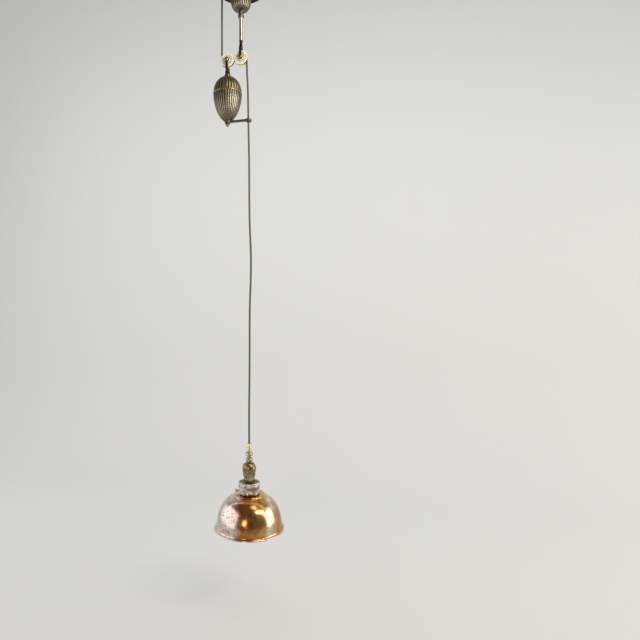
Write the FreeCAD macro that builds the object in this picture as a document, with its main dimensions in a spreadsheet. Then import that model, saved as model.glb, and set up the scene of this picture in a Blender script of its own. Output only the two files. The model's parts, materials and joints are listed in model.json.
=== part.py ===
"""A rise and fall pendant: a lamp on a braided flex, balanced by an egg-shaped weight.

The flex is made fast at the ceiling plate, runs down under the pulley that carries the
weight, up and over the pulley on the ceiling stem, and down through the weight's guide
arm to the lamp, so the lamp moves twice as far as the weight.

Millimetres, +Z up. The origin is the centre of the ceiling plate, on the ceiling. The
pulleys and the flex lie in the XZ plane; the lamp hangs towards +X and is seen from -Y.
"""

import FreeCAD, Part
import math
import os

import Sketcher

Vector = FreeCAD.Vector

# ---------------------------------------------------------------- driving dimensions
SIZES = {
    # ceiling plate and mounting bracket
    "plate_radius": 75,
    "plate_depth": 12,
    "plate_taper": 4,
    "plate_wall": 1.5,
    "bracket_length": 112,
    "bracket_width": 20,
    "bracket_thickness": 2.5,
    "bracket_slot_spacing": 76,
    "bracket_slot_length": 9,
    "bracket_slot_radius": 2.4,
    "boss_radius": 9,
    "boss_height": 6,
    "wire_hole_radius": 5,
    "plate_screw_spacing": 98,
    "plate_screw_radius": 2,
    "plate_screw_head_radius": 3.8,
    "plate_screw_head_height": 2.2,
    # ceiling cup, stem and collar
    "cup_radius": 29.5,
    "cup_height": 62,
    "cup_round": 34,
    "cup_foot_radius": 10,
    "cup_wall": 1.6,
    "cup_reeds": 24,
    "cup_reed_depth": 1.6,
    "collar_radius": 8.5,
    "collar_height": 19,
    "collar_neck_radius": 7,
    "collar_ring_height": 8,
    "collar_screw_radius": 1.5,
    "stem_radius": 5.25,
    "stem_bore": 3.5,
    "stem_end": 158,
    "locknut_flats": 19,
    "terminal_length": 24,
    "terminal_width": 15,
    "terminal_height": 13,
    "terminal_offset": 14.5,
    "terminal_screw_radius": 2,
    # flex, its bush and its clamp
    "flex_radius": 2.7,
    "bush_radius": 4.4,
    "bush_flange_radius": 7,
    "bush_flange_height": 2,
    "clamp_length": 24,
    "clamp_width": 13,
    "clamp_height": 6,
    "clamp_inset": 2,
    "clamp_screw_radius": 1.5,
    # pulleys
    "pulley_radius": 19.5,
    "pulley_half_width": 6,
    "pitch_radius": 16.5,
    "flex_seat_gap": 0.3,
    "hub_radius": 8,
    "ring_inner_radius": 10,
    "ring_outer_radius": 14,
    "ring_step": 0.9,
    "rim_round": 1.1,
    "pulley_bush_radius": 5,
    "axle_radius": 3,
    "running_gap": 0.05,
    "fit_gap": 0.05,
    "side_gap": 0.25,
    "washer_thickness": 1.4,
    "washer_radius": 6,
    "axle_head_radius": 5,
    "axle_head_height": 2.5,
    "axle_nut_radius": 5.6,
    "axle_nut_height": 5.5,
    "fixed_pulley_drop": 206.5,
    "pulley_gap": 0.5,
    "moving_pulley_lower": 3,
    # yokes
    "yoke_leg": 2.4,
    "yoke_strap_half_width": 3.2,
    "yoke_eye_radius": 5,
    "yoke_boss_radius": 7,
    "yoke_boss_height": 9,
    "stud_boss_radius": 4.8,
    "stud_boss_height": 7,
    "stud_length": 9,
    "yoke_shoulder": 24,
    "lower_yoke_reach": 37,
    "yoke_thread_gap": 0.1,
    # counterweight
    "weight_radius": 40.3,
    "lid_top": 256.5,
    "band_level": 304,
    "body_bottom": 380,
    "lid_reeds": 28,
    "lid_reed_depth": 1.5,
    "body_reeds": 36,
    "body_reed_depth": 1.1,
    "weight_wall": 3,
    "bead_radius": 2.4,
    "bead_proud": 0.5,
    "lid_spigot_depth": 5,
    "lid_joint_gap": 0.5,
    "ballast_top": 319.5,
    "ballast_gap": 0.3,
    "rod_radius": 3,
    "top_nut_radius": 9,
    "top_nut_crown": 6.5,
    "arm_thickness": 5,
    "arm_half_width": 3.6,
    "arm_hub_radius": 8.6,
    "arm_eye_radius": 8,
    "guide_offset": 22.3,
    "ferrule_radius": 6.2,
    "ferrule_bore": 5,
    "ferrule_lip": 1.2,
    "ferrule_lip_height": 2.4,
    "end_washer_thickness": 1.5,
    "end_washer_radius": 6,
    "end_nut_flats": 11,
    "end_nut_height": 9.5,
    "end_nut_hex_height": 5,
    # lamp head
    "lamp_offset": 23.85,
    "grip_top": 1287,
    "grip_length": 22,
    "grip_top_radius": 6.2,
    "grip_bottom_radius": 7.6,
    "grip_bore": 3,
    "grip_screw_radius": 1.5,
    "knob_upper_radius": 11,
    "knob_lower_radius": 10.5,
    "knob_neck_radius": 5.6,
    "knob_upper_height": 15.5,
    "knob_lower_height": 16,
    "knob_collar": 1.7,
    "nipple_radius": 4.6,
    "nipple_bore": 3.1,
    "cap_radius": 19.4,
    "cap_foot_radius": 17.2,
    "cap_height": 36,
    "cap_shoulder": 15,
    "cap_wall": 1.2,
    "cap_bead": 0.5,
    "skirt_radius": 15,
    "skirt_height": 18,
    "skirt_tuck": 4,
    "barrel_radius": 13.3,
    "socket_bore": 11.25,
    "barrel_length": 27,
    "slot_half_width": 1.4,
    "slot_rise": 9,
    "plunger_room": 5,
    "insert_radius": 15.4,
    "insert_height": 30,
    "plunger_radius": 1.9,
    "plunger_spacing": 10.5,
    "plunger_length": 11,
    "plunger_reach": 4,
    "plunger_travel": 3,
    "case_screw_radius": 2,
    "case_screw_height": 1.4,
    "case_screw_angle": 20,
    "ring_radius": 18.5,
    "ring_height": 5,
    # gallery and shade
    "gallery_radius": 29.5,
    "gallery_height": 27,
    "gallery_wall": 1.3,
    "gallery_lip": 1,
    "thumb_screw_drop": 23.5,
    "first_thumb_screw_angle": 195,
    "thumb_screw_radius": 1.6,
    "thumb_head_radius": 4,
    "thumb_head_length": 4.5,
    "thumb_neck_length": 6,
    "neck_radius": 27,
    "neck_height": 20,
    "shade_wall": 1,
    "shade_gap": 4,
    "shoulder_radius": 41.5,
    "shoulder_fall": 3.5,
    "dome_start_radius": 31,
    "shade_radius": 91.5,
    "dome_height": 84,
    "rim_height": 10,
    "rim_radius": 98.5,
    "rim_bead_radius": 2.2,
}

# The slack stretch from the fixed pulley to the lamp, as (x, z): pressed out a little by
# the guide arm, then hanging in the slow waves of an old flex, until it enters the grip.
DROP_ROUTE = [
    (16.7, -226), (17.6, -246), (19.2, -274), (20.6, -312), (21.2, -354), (21.6, -398),
    (22.8, -450), (24.0, -512), (24.1, -578), (24.5, -644), (26.3, -700), (28.9, -752),
    (29.3, -800), (27.6, -850), (25.7, -900), (25.1, -962), (25.2, -1032), (24.8, -1096),
    (24.0, -1160), (23.5, -1216), (23.7, -1256), (23.85, -1280),
]

# One word for each way a sub-part can point: up, towards the viewer (-Y) or away (+Y).
UPRIGHT = FreeCAD.Rotation()
FACING = FreeCAD.Rotation(Vector(1, 0, 0), 90)
AWAY = FreeCAD.Rotation(Vector(1, 0, 0), -90)


class Size:
    """A size in mm together with the formula that ties it to the sheet."""

    def __init__(self, value, formula):
        self.value = float(value)
        self.formula = formula

    def __add__(self, other):
        other = as_size(other)
        return Size(self.value + other.value, f"({self.formula} + {other.formula})")

    def __sub__(self, other):
        other = as_size(other)
        return Size(self.value - other.value, f"({self.formula} - {other.formula})")

    def __mul__(self, factor):
        factor = as_size(factor)
        return Size(self.value * factor.value, f"({self.formula} * {factor.formula})")

    def __truediv__(self, other):
        other = as_size(other)
        return Size(self.value / other.value, f"({self.formula} / {other.formula})")

    def __neg__(self):
        return Size(-self.value, f"(0 - {self.formula})")


def as_size(value):
    return value if isinstance(value, Size) else Size(value, f"({float(value)!r})")


def root(size):
    return Size(math.sqrt(size.value), f"sqrt({size.formula})")


class Sizes:
    """The spreadsheet's named cells, each read as a Size."""

    def __init__(self, document):
        self.sheet = document.addObject("Spreadsheet::Sheet", "Sizes")
        self.named = {}
        for row, (alias, value) in enumerate(SIZES.items(), 1):
            self.sheet.set(f"A{row}", alias.replace("_", " "))
            self.sheet.set(f"B{row}", str(value))
            self.sheet.setAlias(f"B{row}", alias)
            self.named[alias] = Size(value, f"Sizes.{alias}")

    def __getattr__(self, alias):
        return self.named[alias]


doc = FreeCAD.newDocument("rise_and_fall_pendant")
d = Sizes(doc)
doc.recompute()
subparts = []


# ---------------------------------------------------------------- ways to make a piece
def bind(obj, path, size):
    size = as_size(size)
    obj.setExpression(path, size.formula)


def place(obj, x=0, y=0, z=0, turn=UPRIGHT):
    obj.Placement = FreeCAD.Placement(
        Vector(as_size(x).value, as_size(y).value, as_size(z).value), turn
    )
    for path, size in (("x", x), ("y", y), ("z", z)):
        if isinstance(size, Size):
            bind(obj, f"Placement.Base.{path}", size)
    return obj


def keep(obj, label):
    """Give an object its own name and list it as a finished sub-part."""
    obj.Label = label
    subparts.append(obj)
    return obj


def arc_centre(start, end, radius):
    """Centre of the arc from start to end, to the left of the way for a radius above 0."""
    middle = (start + end) * 0.5
    chord = end - start
    height = math.sqrt(max(radius * radius - chord.Length ** 2 / 4, 0))
    across = Vector(-chord.y, chord.x, 0).normalize()
    return middle + across * (height if radius > 0 else -height)


def draw(body, plane, outline):
    """A closed sketch through (x, y) corners; (x, y, radius) ends an arc at that corner."""
    sketch = body.newObject("Sketcher::SketchObject", body.Name + "_sketch")
    support = [f for f in body.Origin.OriginFeatures if f.Role == plane][0]
    sketch.AttachmentSupport = (support, [""])
    sketch.MapMode = "FlatFace"
    corners = [(as_size(c[0]), as_size(c[1])) for c in outline]
    radii = [as_size(c[2]) if len(c) > 2 else None for c in outline]
    spots = [Vector(x.value, y.value, 0) for x, y in corners]
    count = len(corners)
    ends = []
    for i in range(count):
        start, end, radius = spots[i], spots[(i + 1) % count], radii[(i + 1) % count]
        if radius is None:
            sketch.addGeometry(Part.LineSegment(start, end), False)
            ends.append((1, 2))
            continue
        centre = arc_centre(start, end, radius.value)
        circle = Part.Circle(centre, Vector(0, 0, 1), abs(radius.value))
        first, last = (start, end) if radius.value > 0 else (end, start)
        span = [math.atan2(p.y - centre.y, p.x - centre.x) for p in (first, last)]
        sketch.addGeometry(Part.ArcOfCircle(circle, span[0], span[1]), False)
        ends.append((1, 2) if radius.value > 0 else (2, 1))
    for i in range(count):
        after = (i + 1) % count
        sketch.addConstraint(
            Sketcher.Constraint("Coincident", i, ends[i][1], after, ends[after][0])
        )
    for i, (x, y) in enumerate(corners):
        for kind, size, axis in (("DistanceX", x, -2), ("DistanceY", y, -1)):
            if size.value == 0:
                sketch.addConstraint(Sketcher.Constraint("PointOnObject", i, ends[i][0], axis))
                continue
            at = sketch.addConstraint(
                Sketcher.Constraint(kind, -1, 1, i, ends[i][0], size.value)
            )
            bind(sketch, f"Constraints[{at}]", size)
        radius = radii[(i + 1) % count]
        if radius is not None:
            wide = radius if radius.value > 0 else -radius
            at = sketch.addConstraint(Sketcher.Constraint("Radius", i, wide.value))
            bind(sketch, f"Constraints[{at}]", wide)
    return sketch


def turned(name, outline, x=0, y=0, z=0, turn=UPRIGHT):
    """A turned piece: its (radius, height) outline spun about its own axis."""
    body = doc.addObject("PartDesign::Body", name)
    sketch = draw(body, "XZ_Plane", outline)
    spin = body.newObject("PartDesign::Revolution", name + "_spin")
    spin.Profile = sketch
    spin.ReferenceAxis = (sketch, ["V_Axis"])
    spin.Angle = 360
    return place(body, x, y, z, turn)


def padded(name, plane, outline, length, x=0, y=0, z=0, middle=False):
    """An outline made thick, upwards from its plane or evenly to both sides of it."""
    body = doc.addObject("PartDesign::Body", name)
    sketch = draw(body, plane, outline)
    pad = body.newObject("PartDesign::Pad", name + "_pad")
    pad.Profile = sketch
    if middle:
        pad.SideType = "Symmetric"
    bind(pad, "Length", length)
    return place(body, x, y, z)


def rod(name, radius, length, x=0, y=0, z=0, turn=UPRIGHT):
    """A plain cylinder that starts at x, y, z."""
    cylinder = doc.addObject("Part::Cylinder", name)
    bind(cylinder, "Radius", radius)
    bind(cylinder, "Height", length)
    return place(cylinder, x, y, z, turn)


def block(name, length, width, height, x, y, z):
    """A box with its middle at x, y and its foot at z."""
    box = doc.addObject("Part::Box", name)
    for path, size in (("Length", length), ("Width", width), ("Height", height)):
        bind(box, path, size)
    return place(box, as_size(x) - as_size(length) / 2, as_size(y) - as_size(width) / 2, z)


def cut(name, base, tools):
    """base with each tool cut out of it, one after the other."""
    for n, tool in enumerate(tools):
        result = doc.addObject("Part::Cut", f"{name}_{n}")
        result.Base, result.Tool = base, tool
        base = result
    return base


def joined(name, pieces):
    result = doc.addObject("Part::MultiFuse", name)
    result.Shapes = pieces
    return result


def group(name, pieces):
    """Separate solids that share one sub-part."""
    result = doc.addObject("Part::Compound", name)
    result.Links = pieces
    return result


def hexagon(name, flats, height, x=0, z=0):
    prism = doc.addObject("Part::Prism", name)
    prism.Polygon = 6
    bind(prism, "Circumradius", flats / math.sqrt(3))
    bind(prism, "Height", height)
    return place(prism, x, 0, z)


def rectangle(half_x, half_y):
    return [(-half_x, -half_y), (half_x, -half_y), (half_x, half_y), (-half_x, half_y)]


def tube_outline(outer, inner, bottom, top):
    return [(inner, bottom), (outer, bottom), (outer, top), (inner, top)]


def shaped(name, shape):
    """A piece whose surface no sketch or primitive makes."""
    feature = doc.addObject("Part::Feature", name)
    feature.Shape = shape
    return feature


def reeded(levels, reeds, x=0):
    """A solid of convex reeds lofted through (height, valley radius, crest radius)."""
    wires = []
    for height, valley, crest in levels:
        def rim(radius, step):
            angle = math.pi * step / reeds
            return Vector(x + radius * math.cos(angle), radius * math.sin(angle), height)

        wires.append(Part.Wire([
            Part.Arc(rim(valley, 2 * i), rim(crest, 2 * i + 1), rim(valley, 2 * i + 2)).toShape()
            for i in range(reeds)
        ]))
    return Part.makeLoft(wires, True, False)


def spun(points, x=0):
    """A solid spun about the upright axis at x from a closed (radius, height) outline."""
    corners = [Vector(x + r, 0, z) for r, z in points]
    face = Part.Face(Part.makePolygon(corners + corners[:1]))
    return face.revolve(Vector(x, 0, 0), Vector(0, 0, 1), 360)


# ---------------------------------------------------------------- levels, all along Z
plate_bottom = -d.plate_depth
cup_bottom = plate_bottom - d.cup_height
collar_bottom = cup_bottom - d.collar_height
stem_bottom = -d.stem_end
pulley_z = -d.fixed_pulley_drop
weight_z = pulley_z - d.moving_pulley_lower

pulley_spread = root(
    (d.pulley_radius * 2 + d.pulley_gap) * (d.pulley_radius * 2 + d.pulley_gap)
    - d.moving_pulley_lower * d.moving_pulley_lower
)
weight_x = -pulley_spread
anchor_x = weight_x - d.pitch_radius

grip_top = -d.grip_top
grip_bottom = grip_top - d.grip_length
knob_upper_bottom = grip_bottom - d.knob_upper_height
knob_lower_bottom = knob_upper_bottom - d.knob_lower_height
cap_bottom = knob_lower_bottom - d.cap_height
skirt_bottom = cap_bottom - d.skirt_height
barrel_bottom = skirt_bottom - d.barrel_length
gallery_bottom = skirt_bottom - d.gallery_height
shade_top = gallery_bottom - d.shade_gap


# ---------------------------------------------------------------- ceiling
def ceiling_fixings():
    inside = plate_bottom + d.plate_wall
    boss_bottom = -d.bracket_thickness - d.boss_height
    strap = padded(
        "bracket_strap", "XY_Plane",
        rectangle(d.bracket_width / 2, d.bracket_length / 2), d.bracket_thickness,
        z=-d.bracket_thickness,
    )
    boss = rod("bracket_boss", d.boss_radius, d.boss_height + d.bracket_thickness / 2, z=boss_bottom)
    cuts = [rod(
        "bracket_thread", d.stem_radius + d.fit_gap, d.boss_height + d.bracket_thickness / 2,
        z=boss_bottom - d.bracket_thickness / 2,
    )]
    reach = d.bracket_slot_length / 2 - d.bracket_slot_radius
    deep, below = d.bracket_thickness * 2, -d.bracket_thickness * 1.5
    for side, way in (("front", -1), ("back", 1)):
        middle = d.bracket_slot_spacing / 2 * way
        cuts.append(joined(f"bracket_slot_{side}", [
            block(f"slot_middle_{side}", d.bracket_slot_radius * 2, reach * 2, deep, 0, middle, below),
            rod(f"slot_near_{side}", d.bracket_slot_radius, deep, y=middle - reach, z=below),
            rod(f"slot_far_{side}", d.bracket_slot_radius, deep, y=middle + reach, z=below),
        ]))
        cuts.append(rod(
            f"bracket_tap_{side}", d.plate_screw_radius + d.fit_gap, deep,
            y=d.plate_screw_spacing / 2 * way, z=below,
        ))
    keep(cut("mounting_bracket", joined("bracket_blank", [strap, boss]), cuts), "mounting_bracket")

    pan = turned("plate_pan", [
        (d.stem_radius + d.fit_gap, plate_bottom),
        (d.plate_radius - d.plate_taper, plate_bottom),
        (d.plate_radius, -d.plate_wall),
        (d.plate_radius, 0),
        (d.plate_radius - d.plate_wall, 0),
        (d.plate_radius - d.plate_taper - d.plate_wall, inside),
        (d.stem_radius + d.fit_gap, inside),
    ])
    holes = [
        rod("plate_bush_hole", d.bush_radius + d.fit_gap, d.plate_wall * 3,
            x=anchor_x, z=plate_bottom - d.plate_wall),
        rod("plate_wire_hole", d.wire_hole_radius, d.plate_wall * 3,
            x=-d.terminal_offset, z=plate_bottom - d.plate_wall),
    ]
    screws = []
    for side, way in (("front", -1), ("back", 1)):
        y = d.plate_screw_spacing / 2 * way
        holes.append(rod(
            f"plate_hole_{side}", d.plate_screw_radius + d.fit_gap, d.plate_wall * 3,
            y=y, z=plate_bottom - d.plate_wall,
        ))
        crown = plate_bottom - d.plate_screw_head_height
        screws.append(turned(f"plate_screw_{side}", [
            (0, crown),
            (d.plate_screw_head_radius * 0.6, crown + d.plate_screw_head_height * 0.2),
            (d.plate_screw_head_radius, plate_bottom),
            (d.plate_screw_radius, plate_bottom),
            (d.plate_screw_radius, -d.bracket_thickness * 0.2),
            (0, -d.bracket_thickness * 0.2),
        ], y=y))
    keep(cut("ceiling_plate", pan, holes), "ceiling_plate")
    keep(group("plate_screws", screws), "plate_screws")

    nut = hexagon("locknut_blank", d.locknut_flats, boss_bottom - inside, z=inside)
    thread = rod(
        "locknut_thread", d.stem_radius + d.fit_gap, (boss_bottom - inside) * 2,
        z=inside - (boss_bottom - inside) / 2,
    )
    keep(cut("stem_locknut", nut, [thread]), "stem_locknut")


def cup_outline(wide, bottom):
    """Radii and heights of the ceiling cup: an upright wall that rounds in at the foot."""
    top, foot = plate_bottom.value, d.cup_foot_radius.value
    turn = cup_bottom.value + d.cup_round.value
    outline = [(wide, top), (wide, (top + turn) / 2), (wide, turn)]
    for share in (0.3, 0.52, 0.7, 0.84, 0.94, 1.0):
        angle = share * math.pi / 2
        radius = foot + (wide - foot) * math.cos(angle) ** 0.8
        outline.append((radius, turn - (turn - bottom) * math.sin(angle)))
    return outline


def ceiling_cup():
    wide, depth, wall = d.cup_radius.value, d.cup_reed_depth.value, d.cup_wall.value
    outer = reeded(
        [(z, r - depth * (r / wide) ** 2, r) for r, z in cup_outline(wide, cup_bottom.value)],
        int(d.cup_reeds.value),
    )
    inner = cup_outline(wide - depth - wall, cup_bottom.value + wall)
    above = plate_bottom.value + wall
    hollow = spun([(0, above), (inner[0][0], above)] + inner[1:] + [(0, inner[-1][1])])
    bore = Part.makeCylinder(
        d.stem_radius.value + d.fit_gap.value, 4 * wall, Vector(0, 0, cup_bottom.value - wall)
    )
    keep(shaped("ceiling_cup", outer.cut(hollow).cut(bore)), "ceiling_cup")

    collar = turned("collar_ring", [
        (d.stem_radius + d.fit_gap, cup_bottom),
        (d.collar_neck_radius, cup_bottom),
        (d.collar_neck_radius, collar_bottom + d.collar_ring_height),
        (d.collar_radius * 0.92, collar_bottom + d.collar_ring_height),
        (d.collar_radius, collar_bottom + d.collar_ring_height * 0.8),
        (d.collar_radius, collar_bottom + d.collar_ring_height * 0.2),
        (d.collar_radius * 0.9, collar_bottom),
        (d.stem_radius + d.fit_gap, collar_bottom),
    ])
    middle = collar_bottom + d.collar_ring_height / 2
    tap = rod(
        "collar_tap", d.collar_screw_radius + d.fit_gap, d.collar_radius * 2,
        z=middle, turn=FACING,
    )
    keep(cut("cup_collar", collar, [tap]), "cup_collar")
    screw = rod(
        "collar_screw", d.collar_screw_radius, d.collar_radius - d.stem_radius - d.fit_gap * 2,
        y=-d.stem_radius - d.fit_gap, z=middle, turn=FACING,
    )
    keep(screw, "collar_screw")


def stem():
    top = -d.bracket_thickness
    keep(turned("stem_tube", tube_outline(d.stem_radius, d.stem_bore, stem_bottom, top)), "stem_tube")


def terminal_block():
    foot = plate_bottom - d.terminal_height
    base = block(
        "terminal_base", d.terminal_width, d.terminal_length, d.terminal_height,
        d.terminal_offset, 0, foot,
    )
    wells, screws = [], []
    for side, way in (("front", -1), ("back", 1)):
        y = d.terminal_length / 4 * way
        wells.append(rod(
            f"terminal_well_{side}", d.terminal_screw_radius + d.fit_gap,
            d.terminal_height / 2, x=d.terminal_offset, y=y, z=foot - d.terminal_height / 4,
        ))
        screws.append(rod(
            f"terminal_screw_{side}", d.terminal_screw_radius, d.terminal_height / 4,
            x=d.terminal_offset, y=y, z=foot,
        ))
    keep(cut("terminal_block", base, wells), "terminal_block")
    keep(group("terminal_screws", screws), "terminal_screws")


def flex_anchor():
    """The bush where the flex leaves the plate, and the clamp that takes its pull."""
    bore = d.flex_radius + d.flex_seat_gap
    inside = plate_bottom + d.plate_wall
    keep(turned("strand_bush", [
        (bore, plate_bottom - d.bush_flange_height),
        (d.bush_flange_radius * 0.8, plate_bottom - d.bush_flange_height),
        (d.bush_flange_radius, plate_bottom - d.bush_flange_height * 0.4),
        (d.bush_flange_radius, plate_bottom),
        (d.bush_radius, plate_bottom),
        (d.bush_radius, inside),
        (bore, inside),
    ], x=anchor_x), "strand_bush")
    middle = anchor_x + d.clamp_inset
    saddle = block(
        "clamp_saddle", d.clamp_width, d.clamp_length, d.clamp_height, middle, 0, inside,
    )
    cuts = [rod(
        "clamp_bore", bore, d.clamp_height * 2, x=anchor_x, z=inside - d.clamp_height / 2,
    )]
    screws = []
    for side, way in (("front", -1), ("back", 1)):
        y = d.clamp_length / 3 * way
        cuts.append(rod(
            f"clamp_tap_{side}", d.clamp_screw_radius + d.fit_gap, d.clamp_height * 2,
            x=middle, y=y, z=inside - d.clamp_height / 2,
        ))
        screws.append(rod(
            f"clamp_screw_{side}", d.clamp_screw_radius, d.clamp_height + d.plate_wall / 2,
            x=middle, y=y, z=inside,
        ))
    keep(cut("strand_clamp", saddle, cuts), "strand_clamp")
    keep(group("clamp_screws", screws), "clamp_screws")


# ---------------------------------------------------------------- pulleys and yokes
def pulley(name, x, z):
    """A grooved porcelain pulley with stepped rings on its faces, and its brass bush."""
    half, seat = d.pulley_half_width, d.flex_radius + d.flex_seat_gap
    inward = d.pitch_radius - seat / 3
    side = seat * (math.sqrt(8) / 3)
    lip = side + (d.pulley_radius - inward) / math.sqrt(8)
    bore = d.pulley_bush_radius + d.fit_gap

    def face(way):
        low = half - d.ring_step
        return [
            (bore, half * way),
            (d.hub_radius, half * way),
            (d.hub_radius + d.ring_step, low * way),
            (d.ring_inner_radius, low * way),
            (d.ring_inner_radius + d.ring_step, (half - d.ring_step / 3) * way),
            (d.ring_outer_radius - d.ring_step, (half - d.ring_step / 3) * way),
            (d.ring_outer_radius, low * way),
            (d.ring_outer_radius + d.ring_step, half * way),
            (d.pulley_radius - d.rim_round, half * way),
            (d.pulley_radius, (half - d.rim_round) * way),
            (d.pulley_radius, lip * way),
        ]

    lower, upper = face(-1), face(1)[::-1]
    lower[-2] += (d.rim_round * 1.2,)
    upper[2] += (d.rim_round * 1.2,)
    outline = lower + [(inward, -side), (inward, side, -seat)] + upper
    keep(turned(name, outline, x=x, z=z, turn=FACING), name)
    keep(turned(
        name + "_bush",
        tube_outline(
            d.pulley_bush_radius, d.axle_radius + d.running_gap,
            -half - d.side_gap / 2, half + d.side_gap / 2,
        ),
        x=x, z=z, turn=FACING,
    ), name + "_bush")


def yoke(name, reach, way, boss_radius, boss_height):
    """A forked strap: two legs beside the pulley that meet in a boss.

    way is 1 for a yoke that hangs from above, and -1 for one that carries a load below.
    """
    inner = d.pulley_half_width + d.side_gap * 2 + d.washer_thickness
    outer = inner + d.yoke_leg
    neck = boss_radius * 0.72
    boss_foot = reach - boss_height
    arch = d.yoke_shoulder - d.yoke_leg * 0.6
    side_view = [
        (-outer, -d.yoke_eye_radius * way), (-inner, -d.yoke_eye_radius * way),
        (-inner, arch * way), (-inner * 0.55, (arch + inner * 0.35) * way),
        (inner * 0.55, (arch + inner * 0.35) * way), (inner, arch * way),
        (inner, -d.yoke_eye_radius * way), (outer, -d.yoke_eye_radius * way),
        (outer, d.yoke_shoulder * way), (neck, (boss_foot + boss_height / 4) * way),
        (-neck, (boss_foot + boss_height / 4) * way), (-outer, d.yoke_shoulder * way),
    ]
    fork = padded(name + "_fork", "YZ_Plane", side_view, d.yoke_eye_radius * 2, middle=True)
    strap = d.yoke_strap_half_width
    top = (boss_foot + boss_height / 2) * way
    outline = padded(
        name + "_outline", "XZ_Plane", [(-strap, 0), (strap, 0), (strap, top), (-strap, top)],
        outer * 3, middle=True,
    )
    eyes = rod(name + "_eyes", d.yoke_eye_radius, outer * 3, y=outer * 1.5, turn=FACING)
    plan = joined(name + "_plan", [outline, eyes])
    flat = doc.addObject("Part::Common", name + "_flat")
    flat.Base, flat.Tool = fork, plan
    boss = turned(name + "_boss", [
        (0, boss_foot * way),
        (boss_radius * 0.75, boss_foot * way),
        (boss_radius, (boss_foot + boss_height * 0.3) * way),
        (boss_radius, (reach - boss_height * 0.1) * way),
        (boss_radius * 0.9, reach * way),
        (0, reach * way),
    ])
    return [flat, boss]


def hanging_yoke():
    """The upper yoke: its boss meets the foot of the stem, and its stud screws into it."""
    reach = stem_bottom - pulley_z
    stud = rod("upper_stud", d.stem_bore - d.yoke_thread_gap, d.stud_length * 1.5,
               z=reach - d.stud_length / 2)
    pieces = yoke("upper", reach, 1, d.stud_boss_radius, d.stud_boss_height)
    return joined("upper_blank", pieces + [stud]), []


def carrying_yoke():
    """The lower yoke: its boss is tapped for the weight's rod."""
    depth = d.yoke_boss_height * 0.8
    tap = rod("lower_tap", d.rod_radius + d.yoke_thread_gap, depth * 2,
              z=-d.lower_yoke_reach - depth)
    pieces = yoke("lower", d.lower_yoke_reach, -1, d.yoke_boss_radius, d.yoke_boss_height)
    return joined("lower_blank", pieces), [tap]


def pulley_block(name, x, z, blank, cuts):
    """A yoke with its axle, its two washers and the nut on the viewer's side."""
    inner = d.pulley_half_width + d.side_gap * 2 + d.washer_thickness
    outer = inner + d.yoke_leg
    cross = rod(name + "_cross", d.axle_radius + d.fit_gap, outer * 3, y=outer * 1.5, turn=FACING)
    whole = place(cut(name + "_yoke", blank, cuts + [cross]), x=x, z=z)
    keep(whole, name + "_yoke")
    nut_front = outer + d.axle_nut_height
    keep(turned(name + "_axle", [
        (0, -outer - d.axle_head_height),
        (d.axle_head_radius * 0.7, -outer - d.axle_head_height),
        (d.axle_head_radius, -outer - d.axle_head_height * 0.5),
        (d.axle_head_radius, -outer),
        (d.axle_radius, -outer),
        (d.axle_radius, nut_front - d.axle_nut_height * 0.3),
        (0, nut_front - d.axle_nut_height * 0.3),
    ], x=x, z=z, turn=FACING), name + "_axle")
    bore = d.axle_radius + d.fit_gap
    keep(turned(name + "_axle_nut", [
        (bore, outer),
        (d.axle_nut_radius, outer),
        (d.axle_nut_radius, outer + d.axle_nut_height * 0.45),
        (d.axle_nut_radius * 0.8, outer + d.axle_nut_height * 0.62),
        (d.axle_nut_radius * 0.55, nut_front),
        (0, nut_front),
        (0, nut_front - d.axle_nut_height * 0.25),
        (bore, nut_front - d.axle_nut_height * 0.25),
    ], x=x, z=z, turn=FACING), name + "_axle_nut")
    washers = []
    for side, start in (("front", inner - d.washer_thickness), ("back", -inner)):
        washers.append(turned(
            f"{name}_washer_{side}",
            tube_outline(d.washer_radius, bore, start, start + d.washer_thickness),
            x=x, z=z, turn=FACING,
        ))
    keep(group(name + "_washers", washers), name + "_washers")


# ---------------------------------------------------------------- counterweight
def lid_levels(grow):
    """The lid: a rounded dome above the band, as (height, valley, crest)."""
    foot = -d.band_level.value + d.bead_radius.value
    rise = -d.lid_top.value - foot
    wide = d.weight_radius.value - 0.4
    levels = []
    for share in (0.0, 0.2, 0.4, 0.58, 0.74, 0.86, 0.94, 0.975):
        radius = wide * math.cos(math.asin(share)) ** 0.9
        depth = d.lid_reed_depth.value * (radius / wide) ** 1.5
        levels.append((foot + (rise - grow) * share / 0.975, radius - depth - grow, radius - grow))
    return levels


def body_levels(grow):
    """The body: it keeps its width for a while and then draws in to a blunt foot."""
    top = -d.band_level.value - d.bead_radius.value
    fall = top + d.body_bottom.value
    wide = d.weight_radius.value
    levels = []
    for share in (0.0, 0.14, 0.29, 0.44, 0.58, 0.71, 0.82, 0.91, 0.97):
        radius = wide * math.sqrt(1 - share ** 1.68)
        depth = d.body_reed_depth.value * (radius / wide) ** 1.2
        z = top - (fall - grow) * share / 0.97
        levels.append((z, radius - depth - grow, radius - grow))
    return levels


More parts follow.
